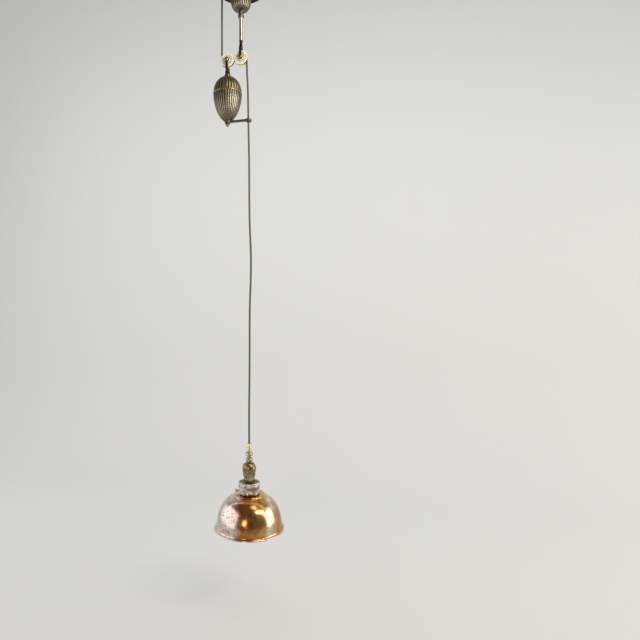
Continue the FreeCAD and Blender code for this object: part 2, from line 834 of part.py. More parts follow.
def counterweight():
    x = weight_x.value
    wall = d.weight_wall.value
    hole = Part.makeCylinder(
        d.rod_radius.value + d.fit_gap.value, d.body_bottom.value - d.lid_top.value + 4 * wall,
        Vector(x, 0, -d.body_bottom.value - 2 * wall),
    )
    band = -d.band_level.value
    bead = d.bead_radius.value
    proud = d.bead_proud.value
    wide = d.weight_radius.value
    edge = [(r, z) for z, r, _ in lid_levels(wall)]
    spigot = wide - d.body_reed_depth.value - wall - d.lid_joint_gap.value
    spigot_bore = min(edge[0][0], spigot - wall / 2)
    spigot_foot = band - bead - d.lid_spigot_depth.value
    dome = reeded(lid_levels(0), int(d.lid_reeds.value), x)
    ring = spun([
        (spigot_bore, spigot_foot),
        (spigot, spigot_foot),
        (spigot, band - bead),
        (wide - d.body_reed_depth.value, band - bead),
        (wide + proud * 0.4, band - bead * 0.7),
        (wide + proud, band),
        (wide + proud * 0.4, band + bead * 0.7),
        (wide - d.lid_reed_depth.value, band + bead),
        (spigot_bore, band + bead),
    ], x)
    hollow = spun(
        [(0, edge[0][1]), (spigot_bore, edge[0][1])] + edge[1:] + [(0, edge[-1][1])], x
    )
    keep(shaped("weight_lid", dome.cut(hollow).fuse(ring).cut(hole)), "weight_lid")

    shell = reeded(body_levels(0), int(d.body_reeds.value), x)
    inner = body_levels(wall)
    top = inner[0][0]
    room = spun(
        [(0, top + wall), (inner[0][1], top + wall)]
        + [(r, z) for z, r, _ in inner] + [(0, inner[-1][0])], x,
    )
    keep(shaped("weight_body", shell.cut(room).cut(hole)), "weight_body")

    gap = d.ballast_gap.value
    slug = [(r - gap, z) for z, r, _ in inner if z < -d.ballast_top.value]
    widest = [r for z, r, _ in inner if z >= -d.ballast_top.value][-1] - gap
    rod_clear = d.rod_radius.value + d.fit_gap.value
    slug = [(rod_clear, -d.ballast_top.value), (min(widest, slug[0][0] + gap), -d.ballast_top.value)] + slug
    foot = slug[-1][1]
    keep(shaped("weight_ballast", spun(slug + [(rod_clear, foot)], x)), "weight_ballast")

    yoke_end = weight_z - d.lower_yoke_reach
    keep(turned("weight_top_nut", [
        (d.rod_radius + d.fit_gap, -d.lid_top),
        (d.top_nut_radius, -d.lid_top),
        (d.top_nut_radius, -d.lid_top + (yoke_end + d.lid_top) * 0.25),
        (d.top_nut_crown, yoke_end, d.top_nut_radius * 1.2),
        (d.rod_radius + d.fit_gap, yoke_end),
    ], x=weight_x), "weight_top_nut")

    arm_bottom = -d.body_bottom - d.arm_thickness
    washer_bottom = arm_bottom - d.end_washer_thickness
    nut_bottom = washer_bottom - d.end_nut_height
    rod_top = yoke_end + d.yoke_boss_height * 0.7
    rod_foot = nut_bottom + d.end_nut_height * 0.3
    keep(rod("weight_rod", d.rod_radius, rod_top - rod_foot, x=weight_x, z=rod_foot), "weight_rod")
    keep(turned("weight_end_washer", tube_outline(
        d.end_washer_radius, d.rod_radius + d.fit_gap, washer_bottom, arm_bottom,
    ), x=weight_x), "weight_end_washer")
    hex_bottom = washer_bottom - d.end_nut_hex_height
    outside_corner = d.end_nut_flats * 0.61
    dome = turned("end_nut_dome", [
        (0, nut_bottom),
        (d.end_nut_flats * 0.44, hex_bottom + d.end_nut_hex_height * 0.1, d.end_nut_flats * 0.5),
        (d.end_nut_flats * 0.53, hex_bottom + d.end_nut_hex_height * 0.1),
        (outside_corner, hex_bottom + d.end_nut_hex_height * 0.35),
        (outside_corner, washer_bottom),
        (0, washer_bottom),
    ], x=weight_x)
    hexed = doc.addObject("Part::Common", "end_nut_hex")
    hexed.Base = dome
    hexed.Tool = hexagon(
        "end_nut_flats", d.end_nut_flats, d.end_nut_height * 2, weight_x,
        nut_bottom - d.end_nut_height / 2,
    )
    thread = rod(
        "end_nut_thread", d.rod_radius + d.fit_gap, d.end_nut_height,
        x=weight_x, z=rod_foot - d.fit_gap * 4,
    )
    keep(cut("weight_end_nut", hexed, [thread]), "weight_end_nut")


def guide_arm():
    bottom = -d.body_bottom - d.arm_thickness
    reach = d.guide_offset - weight_x
    bar = block("arm_bar", reach, d.arm_half_width * 2, d.arm_thickness, weight_x + reach / 2, 0, bottom)
    hub = rod("arm_hub", d.arm_hub_radius, d.arm_thickness, x=weight_x, z=bottom)
    eye = rod("arm_eye", d.arm_eye_radius, d.arm_thickness, x=d.guide_offset, z=bottom)
    low = bottom - d.arm_thickness / 2
    holes = [
        rod("arm_rod_hole", d.rod_radius + d.fit_gap, d.arm_thickness * 2, x=weight_x, z=low),
        rod("arm_eye_hole", d.ferrule_radius + d.fit_gap, d.arm_thickness * 2, x=d.guide_offset, z=low),
    ]
    keep(cut("guide_arm", joined("arm_blank", [bar, hub, eye]), holes), "guide_arm")
    top = -d.body_bottom
    foot = bottom - d.ferrule_lip_height
    keep(turned("guide_ferrule", [
        (d.ferrule_bore + d.ferrule_lip / 2, foot),
        (d.ferrule_radius + d.ferrule_lip * 0.6, foot),
        (d.ferrule_radius + d.ferrule_lip, foot + d.ferrule_lip_height * 0.5),
        (d.ferrule_radius + d.ferrule_lip * 0.6, bottom),
        (d.ferrule_radius, bottom),
        (d.ferrule_radius, top),
        (d.ferrule_bore + d.ferrule_lip / 2, top),
        (d.ferrule_bore, top - d.ferrule_lip),
        (d.ferrule_bore, foot + d.ferrule_lip),
    ], x=d.guide_offset), "guide_ferrule")


# ---------------------------------------------------------------- flex
def rounded_path(points):
    """Straight runs through the points, with each corner an arc as large as they allow."""
    edges, radii = [], []
    last = points[0]
    for before, corner, after in zip(points, points[1:], points[2:]):
        run_in, run_out = (corner - before), (after - corner)
        turn = run_in.getAngle(run_out)
        shorter = min(run_in.Length, run_out.Length)
        radius = 0.45 * shorter / math.tan(turn / 2)
        start = corner - run_in.normalize() * (0.45 * shorter)
        end = corner + run_out.normalize() * (0.45 * shorter)
        to_centre = (run_out - run_in).normalize()
        centre = corner + to_centre * (radius / math.cos(turn / 2))
        middle = centre - to_centre * radius
        edges.append(Part.LineSegment(last, start).toShape())
        edges.append(Part.Arc(start, middle, end).toShape())
        radii.append(radius)
        last = end
    edges.append(Part.LineSegment(last, points[-1]).toShape())
    return Part.Wire(edges), radii


def flex_along(name, path, start, way):
    """A round flex along a path, with its volume compared with section times length."""
    radius = d.flex_radius.value
    ring = Part.Wire([Part.makeCircle(radius, start, way)])
    solid = path.makePipeShell([ring], True, False)
    wanted = math.pi * radius ** 2 * path.Length
    print(f"{name}: {path.Length:.1f} mm long, volume {solid.Volume / wanted:.4f} of section x length")
    keep(shaped(name, solid), name)


def wrap(centre, first, last, radius):
    """The arc of flex round a pulley, between two directions in degrees."""
    def at(angle):
        return centre + Vector(math.cos(math.radians(angle)), 0, math.sin(math.radians(angle))) * radius

    return Part.Wire([Part.Arc(at(first), at((first + last) / 2), at(last)).toShape()]), at(first)


def flex():
    radius = d.pitch_radius.value
    low = Vector(weight_x.value, 0, weight_z.value)
    high = Vector(0, 0, pulley_z.value)
    down = Vector(0, 0, -1)
    line = high - low
    tilt = math.degrees(math.atan2(line.z, line.x))
    lean = math.degrees(math.asin(2 * radius / line.Length))
    leave = tilt - (90 - lean)

    top = plate_bottom + d.plate_wall + d.clamp_height
    head = Vector(anchor_x.value, 0, top.value)
    strand = Part.Wire([Part.LineSegment(head, Vector(head.x, 0, low.z)).toShape()])
    flex_along("flex_anchor_strand", strand, head, down)

    under, start = wrap(low, -180, leave, radius)
    flex_along("flex_lower_wrap", under, start, down)
    over, start = wrap(high, leave + 180, 0, radius)
    away = Vector(math.cos(math.radians(leave)), 0, math.sin(math.radians(leave))) * radius
    first, last = low + away, high - away
    flex_along("flex_upper_wrap", over, start, last - first)
    crossing = Part.Wire([Part.LineSegment(first, last).toShape()])
    flex_along("flex_crossing", crossing, first, last - first)

    inside = Vector(d.lamp_offset.value, 0, (grip_top - d.grip_length * 0.55).value)
    points = [high + Vector(radius, 0, 0)] + [Vector(x, 0, z) for x, z in DROP_ROUTE] + [inside]
    path, radii = rounded_path(points)
    print("flex_drop corner radii, mm:", " ".join(f"{r:.0f}" for r in radii))
    flex_along("flex_drop", path, points[0], points[1] - points[0])


# ---------------------------------------------------------------- lamp head
def knob(name, top, height, radius):
    """A turned ball between two short necks, bored for the nipple."""
    bore = d.nipple_radius + d.fit_gap
    ball = height / 2 - d.knob_collar
    middle = top - height / 2
    rise = root(radius * radius - d.knob_neck_radius * d.knob_neck_radius)
    squash = ball / rise
    outline = [(bore, top - height), (d.knob_neck_radius, top - height)]
    for share in (-1, -0.85, -0.55, -0.2, 0.2, 0.55, 0.85, 1):
        level = rise * share
        outline.append((root(radius * radius - level * level), middle + level * squash))
    outline += [(d.knob_neck_radius, top), (bore, top)]
    keep(turned(name, outline, x=d.lamp_offset), name)


def cord_grip():
    bore = d.flex_radius + d.flex_seat_gap
    thread = grip_top - d.grip_length * 0.6
    nipple_bore = d.nipple_radius + d.fit_gap
    cone = turned("grip_cone", [
        (bore, grip_top),
        (d.grip_top_radius * 0.9, grip_top),
        (d.grip_top_radius, grip_top - d.grip_length * 0.04),
        (d.grip_bottom_radius, grip_bottom + d.grip_length * 0.12),
        (d.grip_bottom_radius * 0.85, grip_bottom),
        (nipple_bore, grip_bottom),
        (nipple_bore, thread),
        (bore, thread),
    ], x=d.lamp_offset)
    level = grip_top - d.grip_length * 0.35
    tap = rod(
        "grip_tap", d.grip_screw_radius + d.fit_gap, d.grip_bottom_radius * 2,
        x=d.lamp_offset, z=level, turn=AWAY,
    )
    keep(cut("cord_grip", cone, [tap]), "cord_grip")
    keep(rod(
        "grip_screw", d.grip_screw_radius, d.grip_bottom_radius - bore,
        x=d.lamp_offset, y=bore, z=level, turn=AWAY,
    ), "grip_screw")
    keep(turned("holder_nipple", tube_outline(
        d.nipple_radius, d.nipple_bore, knob_lower_bottom - d.cap_wall * 4, thread,
    ), x=d.lamp_offset), "holder_nipple")


def lamp_holder():
    top, axis = knob_lower_bottom, d.lamp_offset
    neck = d.nipple_radius + d.fit_gap
    shoulder = top - d.cap_shoulder
    wall = d.cap_wall
    cap = turned("cap_shell", [
        (neck, top),
        (d.cap_radius * 0.48, top),
        (d.cap_radius * 0.8, top - d.cap_shoulder * 0.28),
        (d.cap_radius * 0.96, top - d.cap_shoulder * 0.62),
        (d.cap_radius, shoulder),
        (d.cap_foot_radius, cap_bottom + d.cap_height * 0.1),
        (d.cap_foot_radius + d.cap_bead, cap_bottom + d.cap_height * 0.06),
        (d.cap_foot_radius + d.cap_bead, cap_bottom),
        (d.cap_foot_radius - wall, cap_bottom),
        (d.cap_foot_radius - wall, cap_bottom + d.cap_height * 0.1),
        (d.cap_radius - wall, shoulder),
        (d.cap_radius * 0.96 - wall, top - d.cap_shoulder * 0.62),
        (d.cap_radius * 0.8 - wall * 0.7, top - d.cap_shoulder * 0.28 - wall * 0.8),
        (d.cap_radius * 0.48 - wall * 0.4, top - wall * 1.5),
        (neck, top - wall * 1.5),
    ], x=axis)
    screw_levels = (cap_bottom + d.cap_height * 0.15, cap_bottom - d.skirt_height * 0.5)
    screw_faces = (d.cap_foot_radius + d.cap_bead, d.skirt_radius)
    keep(cap, "holder_cap")

    insert_top = cap_bottom + d.insert_height * 0.6
    insert_bottom = insert_top - d.insert_height
    core = d.barrel_radius - d.cap_wall * 1.2
    insert = turned("insert_core", [
        (0, insert_bottom),
        (core, insert_bottom),
        (core, cap_bottom + d.fit_gap * 4),
        (d.insert_radius, cap_bottom + d.fit_gap * 4),
        (d.insert_radius, insert_top),
        (0, insert_top),
    ], x=axis)
    wells = []
    for n, way in enumerate((-1, 1), 1):
        y = d.plunger_spacing / 2 * way
        well = d.plunger_radius + d.running_gap
        deep = d.plunger_length * 1.6
        wells.append(rod(f"insert_well_{n}", well, deep * 2, x=axis, y=y, z=insert_bottom - deep))
        tip = insert_bottom - d.plunger_reach
        keep(turned(f"contact_plunger_{n}", [
            (0, tip),
            (d.plunger_radius * 0.6, tip),
            (d.plunger_radius, tip + d.plunger_radius * 0.6),
            (d.plunger_radius, tip + d.plunger_length),
            (0, tip + d.plunger_length),
        ], x=axis, y=y), f"contact_plunger_{n}")
        keep(turned(f"plunger_spring_{n}", tube_outline(
            d.plunger_radius * 0.85, d.plunger_radius * 0.5,
            tip + d.plunger_length, insert_bottom + deep,
        ), x=axis, y=y), f"plunger_spring_{n}")
    keep(cut("holder_insert", insert, wells), "holder_insert")

    tuck = cap_bottom + d.skirt_tuck
    inner = d.skirt_radius - d.cap_wall
    skirt = turned("skirt_shell", [
        (d.skirt_radius, skirt_bottom),
        (d.skirt_radius, cap_bottom),
        (d.cap_foot_radius - wall - d.fit_gap, cap_bottom),
        (d.cap_foot_radius - wall - d.fit_gap, tuck),
        (d.insert_radius + d.fit_gap, tuck),
        (d.insert_radius + d.fit_gap, cap_bottom + d.fit_gap * 3),
        (core + d.fit_gap, cap_bottom + d.fit_gap * 3),
        (core + d.fit_gap, insert_bottom - d.plunger_room),
        (d.socket_bore, insert_bottom - d.plunger_room),
        (d.socket_bore, barrel_bottom),
        (d.barrel_radius + d.cap_wall * 0.6, barrel_bottom),
        (d.barrel_radius + d.cap_wall * 0.6, barrel_bottom + d.cap_wall),
        (d.barrel_radius, barrel_bottom + d.cap_wall * 1.6),
        (d.barrel_radius, skirt_bottom),
    ], x=axis)
    slots = []
    half = d.slot_half_width
    for n, way in enumerate((-1, 1), 1):
        slots.append(block(
            f"slot_way_{n}", half * 2, d.barrel_radius, d.slot_rise + half,
            axis, d.barrel_radius * way, barrel_bottom - half,
        ))
        slots.append(block(
            f"slot_turn_{n}", half * 5, d.barrel_radius, half * 2,
            axis + half * (1.5 * way), d.barrel_radius * way, barrel_bottom + d.slot_rise - half,
        ))
    keep(cut("holder_skirt", skirt, slots), "holder_skirt")

    heads = []
    angle = FreeCAD.Rotation(Vector(0, 0, 1), -d.case_screw_angle.value)
    for n, (level, face) in enumerate(zip(screw_levels, screw_faces), 1):
        heads.append(turned(f"case_screw_{n}", [
            (0, face + d.fit_gap),
            (d.case_screw_radius, face + d.fit_gap),
            (d.case_screw_radius, face + d.case_screw_height * 0.6),
            (d.case_screw_radius * 0.6, face + d.case_screw_height),
            (0, face + d.case_screw_height),
        ], x=axis, z=level, turn=angle.multiply(FACING)))
    keep(group("case_screws", heads), "case_screws")

    plate = d.gallery_wall
    keep(turned("shade_ring", [
        (d.barrel_radius + d.fit_gap, skirt_bottom - plate - d.ring_height),
        (d.ring_radius * 0.94, skirt_bottom - plate - d.ring_height),
        (d.ring_radius, skirt_bottom - plate - d.ring_height * 0.7),
        (d.ring_radius, skirt_bottom - plate - d.ring_height * 0.3),
        (d.ring_radius * 0.94, skirt_bottom - plate),
        (d.barrel_radius + d.fit_gap, skirt_bottom - plate),
    ], x=axis), "shade_ring")


def gallery():
    axis, top, wall = d.lamp_offset, skirt_bottom, d.gallery_wall
    ring = turned("gallery_ring", [
        (d.barrel_radius + d.fit_gap, top - wall),
        (d.barrel_radius + d.fit_gap, top),
        (d.gallery_radius - wall * 2, top),
        (d.gallery_radius - wall, top + d.gallery_lip),
        (d.gallery_radius, top + d.gallery_lip * 0.3),
        (d.gallery_radius, gallery_bottom + d.gallery_lip * 2),
        (d.gallery_radius + d.gallery_lip * 0.7, gallery_bottom + d.gallery_lip),
        (d.gallery_radius + d.gallery_lip * 0.4, gallery_bottom),
        (d.gallery_radius - wall, gallery_bottom),
        (d.gallery_radius - wall, top - wall),
    ], x=axis)
    level = top - d.thumb_screw_drop
    holes = []
    tip = d.neck_radius + d.flex_seat_gap
    head = d.gallery_radius + d.thumb_neck_length
    for n in (1, 2, 3):
        angle = d.first_thumb_screw_angle.value + 120 * (n - 1)
        outward = FreeCAD.Rotation(Vector(0, 0, 1), angle).multiply(
            FreeCAD.Rotation(Vector(0, 1, 0), 90)
        )
        holes.append(rod(
            f"gallery_tap_{n}", d.thumb_screw_radius + d.running_gap, d.gallery_radius * 2,
            x=axis, z=level, turn=outward,
        ))
        keep(turned(f"thumb_screw_{n}", [
            (0, tip),
            (d.thumb_screw_radius, tip),
            (d.thumb_screw_radius, head - d.thumb_neck_length * 0.5),
            (d.thumb_screw_radius * 1.5, head - d.thumb_neck_length * 0.4),
            (d.thumb_screw_radius * 1.5, head),
            (d.thumb_head_radius * 0.9, head),
            (d.thumb_head_radius, head + d.thumb_head_length * 0.2),
            (d.thumb_head_radius, head + d.thumb_head_length * 0.7),
            (d.thumb_head_radius * 0.75, head + d.thumb_head_length),
            (0, head + d.thumb_head_length),
        ], x=axis, z=level, turn=outward), f"thumb_screw_{n}")
    keep(cut("gallery", ring, holes), "gallery")


def shade():
    wall = d.shade_wall
    neck_top = shade_top + d.neck_height
    dome_top = shade_top - d.shoulder_fall
    dome_foot = dome_top - d.dome_height
    rim = dome_foot - d.rim_height
    bead = d.rim_bead_radius
    outside, inside = [], []
    for share in (0.17, 0.3, 0.42, 0.53, 0.63, 0.72, 0.8, 0.87, 0.93, 0.97, 1.0):
        angle = share * math.pi / 2
        wide = d.dome_start_radius + (d.shade_radius - d.dome_start_radius) * math.sin(angle)
        level = dome_foot + d.dome_height * math.cos(angle)
        outside.append((wide, level))
        inside.append((wide - wall * math.sin(angle) ** 0.5, level - wall * math.cos(angle)))
    mouth = d.rim_radius - bead * 2
    keep(turned("shade", [
        (d.neck_radius - wall, neck_top),
        (d.neck_radius, neck_top),
        (d.neck_radius, shade_top + wall),
        (d.neck_radius + wall, shade_top),
        (d.shoulder_radius, dome_top + d.shoulder_fall * 0.45),
    ] + outside + [
        (mouth, rim + bead * 2),
        (d.rim_radius - bead * 0.6, rim + bead * 1.8),
        (d.rim_radius, rim + bead),
        (d.rim_radius - bead * 0.6, rim + bead * 0.2),
        (mouth - bead * 0.2, rim),
        (mouth - wall, rim + bead * 2),
    ] + inside[::-1] + [
        (d.shoulder_radius - wall, dome_top + d.shoulder_fall * 0.45 - wall),
        (d.neck_radius - wall, shade_top - wall),
    ], x=d.lamp_offset), "shade")


ceiling_fixings()
ceiling_cup()
stem()
terminal_block()
flex_anchor()
pulley_block("upper", 0, pulley_z, *hanging_yoke())
pulley("upper_pulley", 0, pulley_z)
pulley_block("lower", weight_x, weight_z, *carrying_yoke())
pulley("lower_pulley", weight_x, weight_z)
counterweight()
guide_arm()
flex()
cord_grip()
knob("knob_upper", grip_bottom, d.knob_upper_height, d.knob_upper_radius)
knob("knob_lower", knob_upper_bottom, d.knob_lower_height, d.knob_lower_radius)
lamp_holder()
gallery()
shade()
doc.recompute()

# ---------------------------------------------------------------- check and write
failed = [o.Label for o in doc.Objects if "Invalid" in o.State or "Error" in o.State]
failed += [o.Label for o in subparts if o.Shape.isNull() or not o.Shape.isValid()]
if failed:
    raise SystemExit("these pieces failed: " + ", ".join(failed))
os.makedirs("parts", exist_ok=True)
for part in subparts:
    part.Shape.exportStep(f"parts/{part.Label}.step")
    solids = part.Shape.Solids
    print(f"{part.Label}: {len(solids)} solid(s), {sum(s.Volume for s in solids) / 1000:.2f} cm3")
print(len(subparts), "sub-parts")
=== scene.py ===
"""A rise and fall pendant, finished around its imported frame: metres, +Z up.

The lamp hangs on a braided flex that runs over two porcelain pulleys to the ceiling, and
an egg-shaped weight on the lower pulley balances it.
"""

import json
import math

import bmesh
import bpy
from mathutils import Matrix, Quaternion, Vector, noise


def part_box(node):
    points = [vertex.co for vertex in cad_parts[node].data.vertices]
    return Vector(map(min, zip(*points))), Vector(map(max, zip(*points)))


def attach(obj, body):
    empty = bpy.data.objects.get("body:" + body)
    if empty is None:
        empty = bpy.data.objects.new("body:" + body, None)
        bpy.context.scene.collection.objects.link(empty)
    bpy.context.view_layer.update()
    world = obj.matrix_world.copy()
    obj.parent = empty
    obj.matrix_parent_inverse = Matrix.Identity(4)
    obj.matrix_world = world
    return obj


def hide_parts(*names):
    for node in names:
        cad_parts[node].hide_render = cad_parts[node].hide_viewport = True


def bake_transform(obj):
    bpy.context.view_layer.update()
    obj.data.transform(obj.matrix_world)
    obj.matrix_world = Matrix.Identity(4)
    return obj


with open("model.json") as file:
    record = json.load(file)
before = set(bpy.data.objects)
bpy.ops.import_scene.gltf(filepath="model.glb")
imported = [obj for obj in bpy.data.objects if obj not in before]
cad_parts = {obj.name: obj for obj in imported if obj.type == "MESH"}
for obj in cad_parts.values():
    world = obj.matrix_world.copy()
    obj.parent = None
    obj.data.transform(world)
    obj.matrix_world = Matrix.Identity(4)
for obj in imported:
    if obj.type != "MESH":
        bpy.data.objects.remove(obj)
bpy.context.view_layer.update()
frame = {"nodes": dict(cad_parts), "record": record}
scene = bpy.context.scene
nodes = frame["nodes"]

MM = 0.001
FLEX_RADIUS = 2.7 * MM
# Each wheel's centre, and how far from it the middle of the flex runs.
UPPER_WHEEL = Vector((0, 0, -206.5)) * MM
LOWER_WHEEL = Vector((-39.386, 0, -209.5)) * MM
PITCH_RADIUS = 16.5 * MM


# ---------------------------------------------------------------- small helpers
def colour(code):
    """A hex sRGB colour as linear RGBA."""
    channels = [int(code[i:i + 2], 16) / 255 for i in (1, 3, 5)]
    return [c / 12.92 if c <= 0.04045 else ((c + 0.055) / 1.055) ** 2.4 for c in channels] + [1]


def add(tree, kind, inputs=None, stops=(), **settings):
    """A new node with its settings; an input that is a node or a socket is linked.

    stops are the places and hex colours of a colour ramp.
    """
    node = tree.nodes.new(kind)
    for name, value in settings.items():
        setattr(node, name, value)
    for key, value in (inputs or {}).items():
        if isinstance(value, bpy.types.Node):
            value = value.outputs[0]
        if isinstance(value, bpy.types.NodeSocket):
            tree.links.new(value, node.inputs[key])
        else:
            node.inputs[key].default_value = value
    for index, (place, code) in enumerate(stops):
        elements = node.color_ramp.elements
        element = elements[index] if index < 2 else elements.new(1)
        element.position = place
        element.color = colour(code)
    return node


def centre_x(node):
    """The middle of a CAD node from left to right."""
    low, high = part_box(node)
    return (low[0] + high[0]) / 2


LAMP_X = centre_x("shade")
WEIGHT_X = centre_x("weight_body")
SHADE_MIDDLE = Vector((LAMP_X, 0, -1.47))
# The wear on the shade and the gallery, and the shade's painted reflections, change along a line
# turned this far from X.
WEAR_AND_SHEEN_TURN = math.radians(15)


# ---------------------------------------------------------------- materials
def new_material(name):
    """A material without nodes, its tree and the object's own coordinates."""
    made = bpy.data.materials.new(name)
    made.use_nodes = True
    made.node_tree.nodes.clear()
    return made, made.node_tree, add(made.node_tree, "ShaderNodeTexCoord").outputs["Object"]


def cast_metal(name, codes, bare_and_sheen, grime, patina_size, worn_from, worn, grime_to, shine):
    """Cast, reeded and gone dark: rubbed back along the reeds' crests, which also paints their
    highlights, and grimy between them.

    worn_from and grime_to are heights on a reed, from 0 in the hollow to 1 on the crest, and
    worn is how strongly the crest takes its paler colour.
    """
    made, tree, place = new_material(name)
    crest = add(tree, "ShaderNodeAttribute", attribute_name="crest").outputs["Fac"]
    patina = add(tree, "ShaderNodeTexNoise", {
        "Vector": place, "Scale": 1 / (patina_size * MM), "Detail": 6, "Roughness": 0.65,
    })
    grain = add(tree, "ShaderNodeTexNoise", {"Vector": place, "Scale": 1 / (0.7 * MM)})
    brown = add(tree, "ShaderNodeValToRGB", {"Fac": patina}, stops=[
        (0.30, codes[0]), (0.50, codes[1]), (0.72, codes[2]),
    ])
    rubbed = add(tree, "ShaderNodeMapRange", {
        "Value": crest, "From Min": worn_from, "From Max": 1.0, "To Max": worn,
    })
    bared = add(tree, "ShaderNodeMixRGB", {"Fac": rubbed, "Color1": brown, "Color2": colour(bare_and_sheen)})
    hollow = add(tree, "ShaderNodeValToRGB", {"Fac": crest}, stops=[
        (0.0, grime), (grime_to, "#ffffff"),
    ])
    base = add(tree, "ShaderNodeMixRGB", {"Fac": 0.9, "Color1": bared, "Color2": hollow},
               blend_type="MULTIPLY")
    dull = add(tree, "ShaderNodeMapRange", {
        "Value": patina, "To Min": shine, "To Max": shine + 0.18,
    })
    bump = add(tree, "ShaderNodeBump", {"Height": grain, "Distance": 0.12 * MM, "Strength": 0.5})
    shader = add(tree, "ShaderNodeBsdfPrincipled", {
        "Base Color": base, "Metallic": 1.0, "Roughness": dull, "Normal": bump,
    })
    add(tree, "ShaderNodeOutputMaterial", {"Surface": shader})
    return made


def turned_brass(name, codes, shine, tarnish_size=9):
    """Lathe-turned brass: fine rings round the axis, brown tarnish and small dark specks."""
    made, tree, place = new_material(name)
    tarnish = add(tree, "ShaderNodeTexNoise", {
        "Vector": place, "Scale": 1 / (tarnish_size * MM), "Detail": 6, "Roughness": 0.7,
        "Distortion": 0.4,
    })
    specks = add(tree, "ShaderNodeTexNoise", {"Vector": place, "Scale": 1 / (1.6 * MM)})
    rings = add(tree, "ShaderNodeTexWave", {
        "Vector": place, "Scale": 1 / (22 * MM), "Distortion": 0.6, "Detail": 1,
        "Detail Scale": 2,
    }, bands_direction="Z")
    metal = add(tree, "ShaderNodeValToRGB", {"Fac": tarnish}, stops=[
        (0.30, codes[0]), (0.50, codes[1]), (0.68, codes[2]),
    ])
    spots = add(tree, "ShaderNodeValToRGB", {"Fac": specks}, stops=[
        (0.30, "#5d4a35"), (0.42, "#ffffff"),
    ])
    base = add(tree, "ShaderNodeMixRGB", {"Fac": 0.7, "Color1": metal, "Color2": spots},
               blend_type="MULTIPLY")
    dull = add(tree, "ShaderNodeMapRange", {
        "Value": tarnish, "To Min": shine + 0.22, "To Max": shine,
    })
    bump = add(tree, "ShaderNodeBump", {
        "Height": rings.outputs["Fac"], "Distance": 0.05 * MM, "Strength": 0.35,
    })
    shader = add(tree, "ShaderNodeBsdfPrincipled", {
        "Base Color": base, "Metallic": 1.0, "Roughness": dull, "Normal": bump,
    })
    add(tree, "ShaderNodeOutputMaterial", {"Surface": shader})
    return made


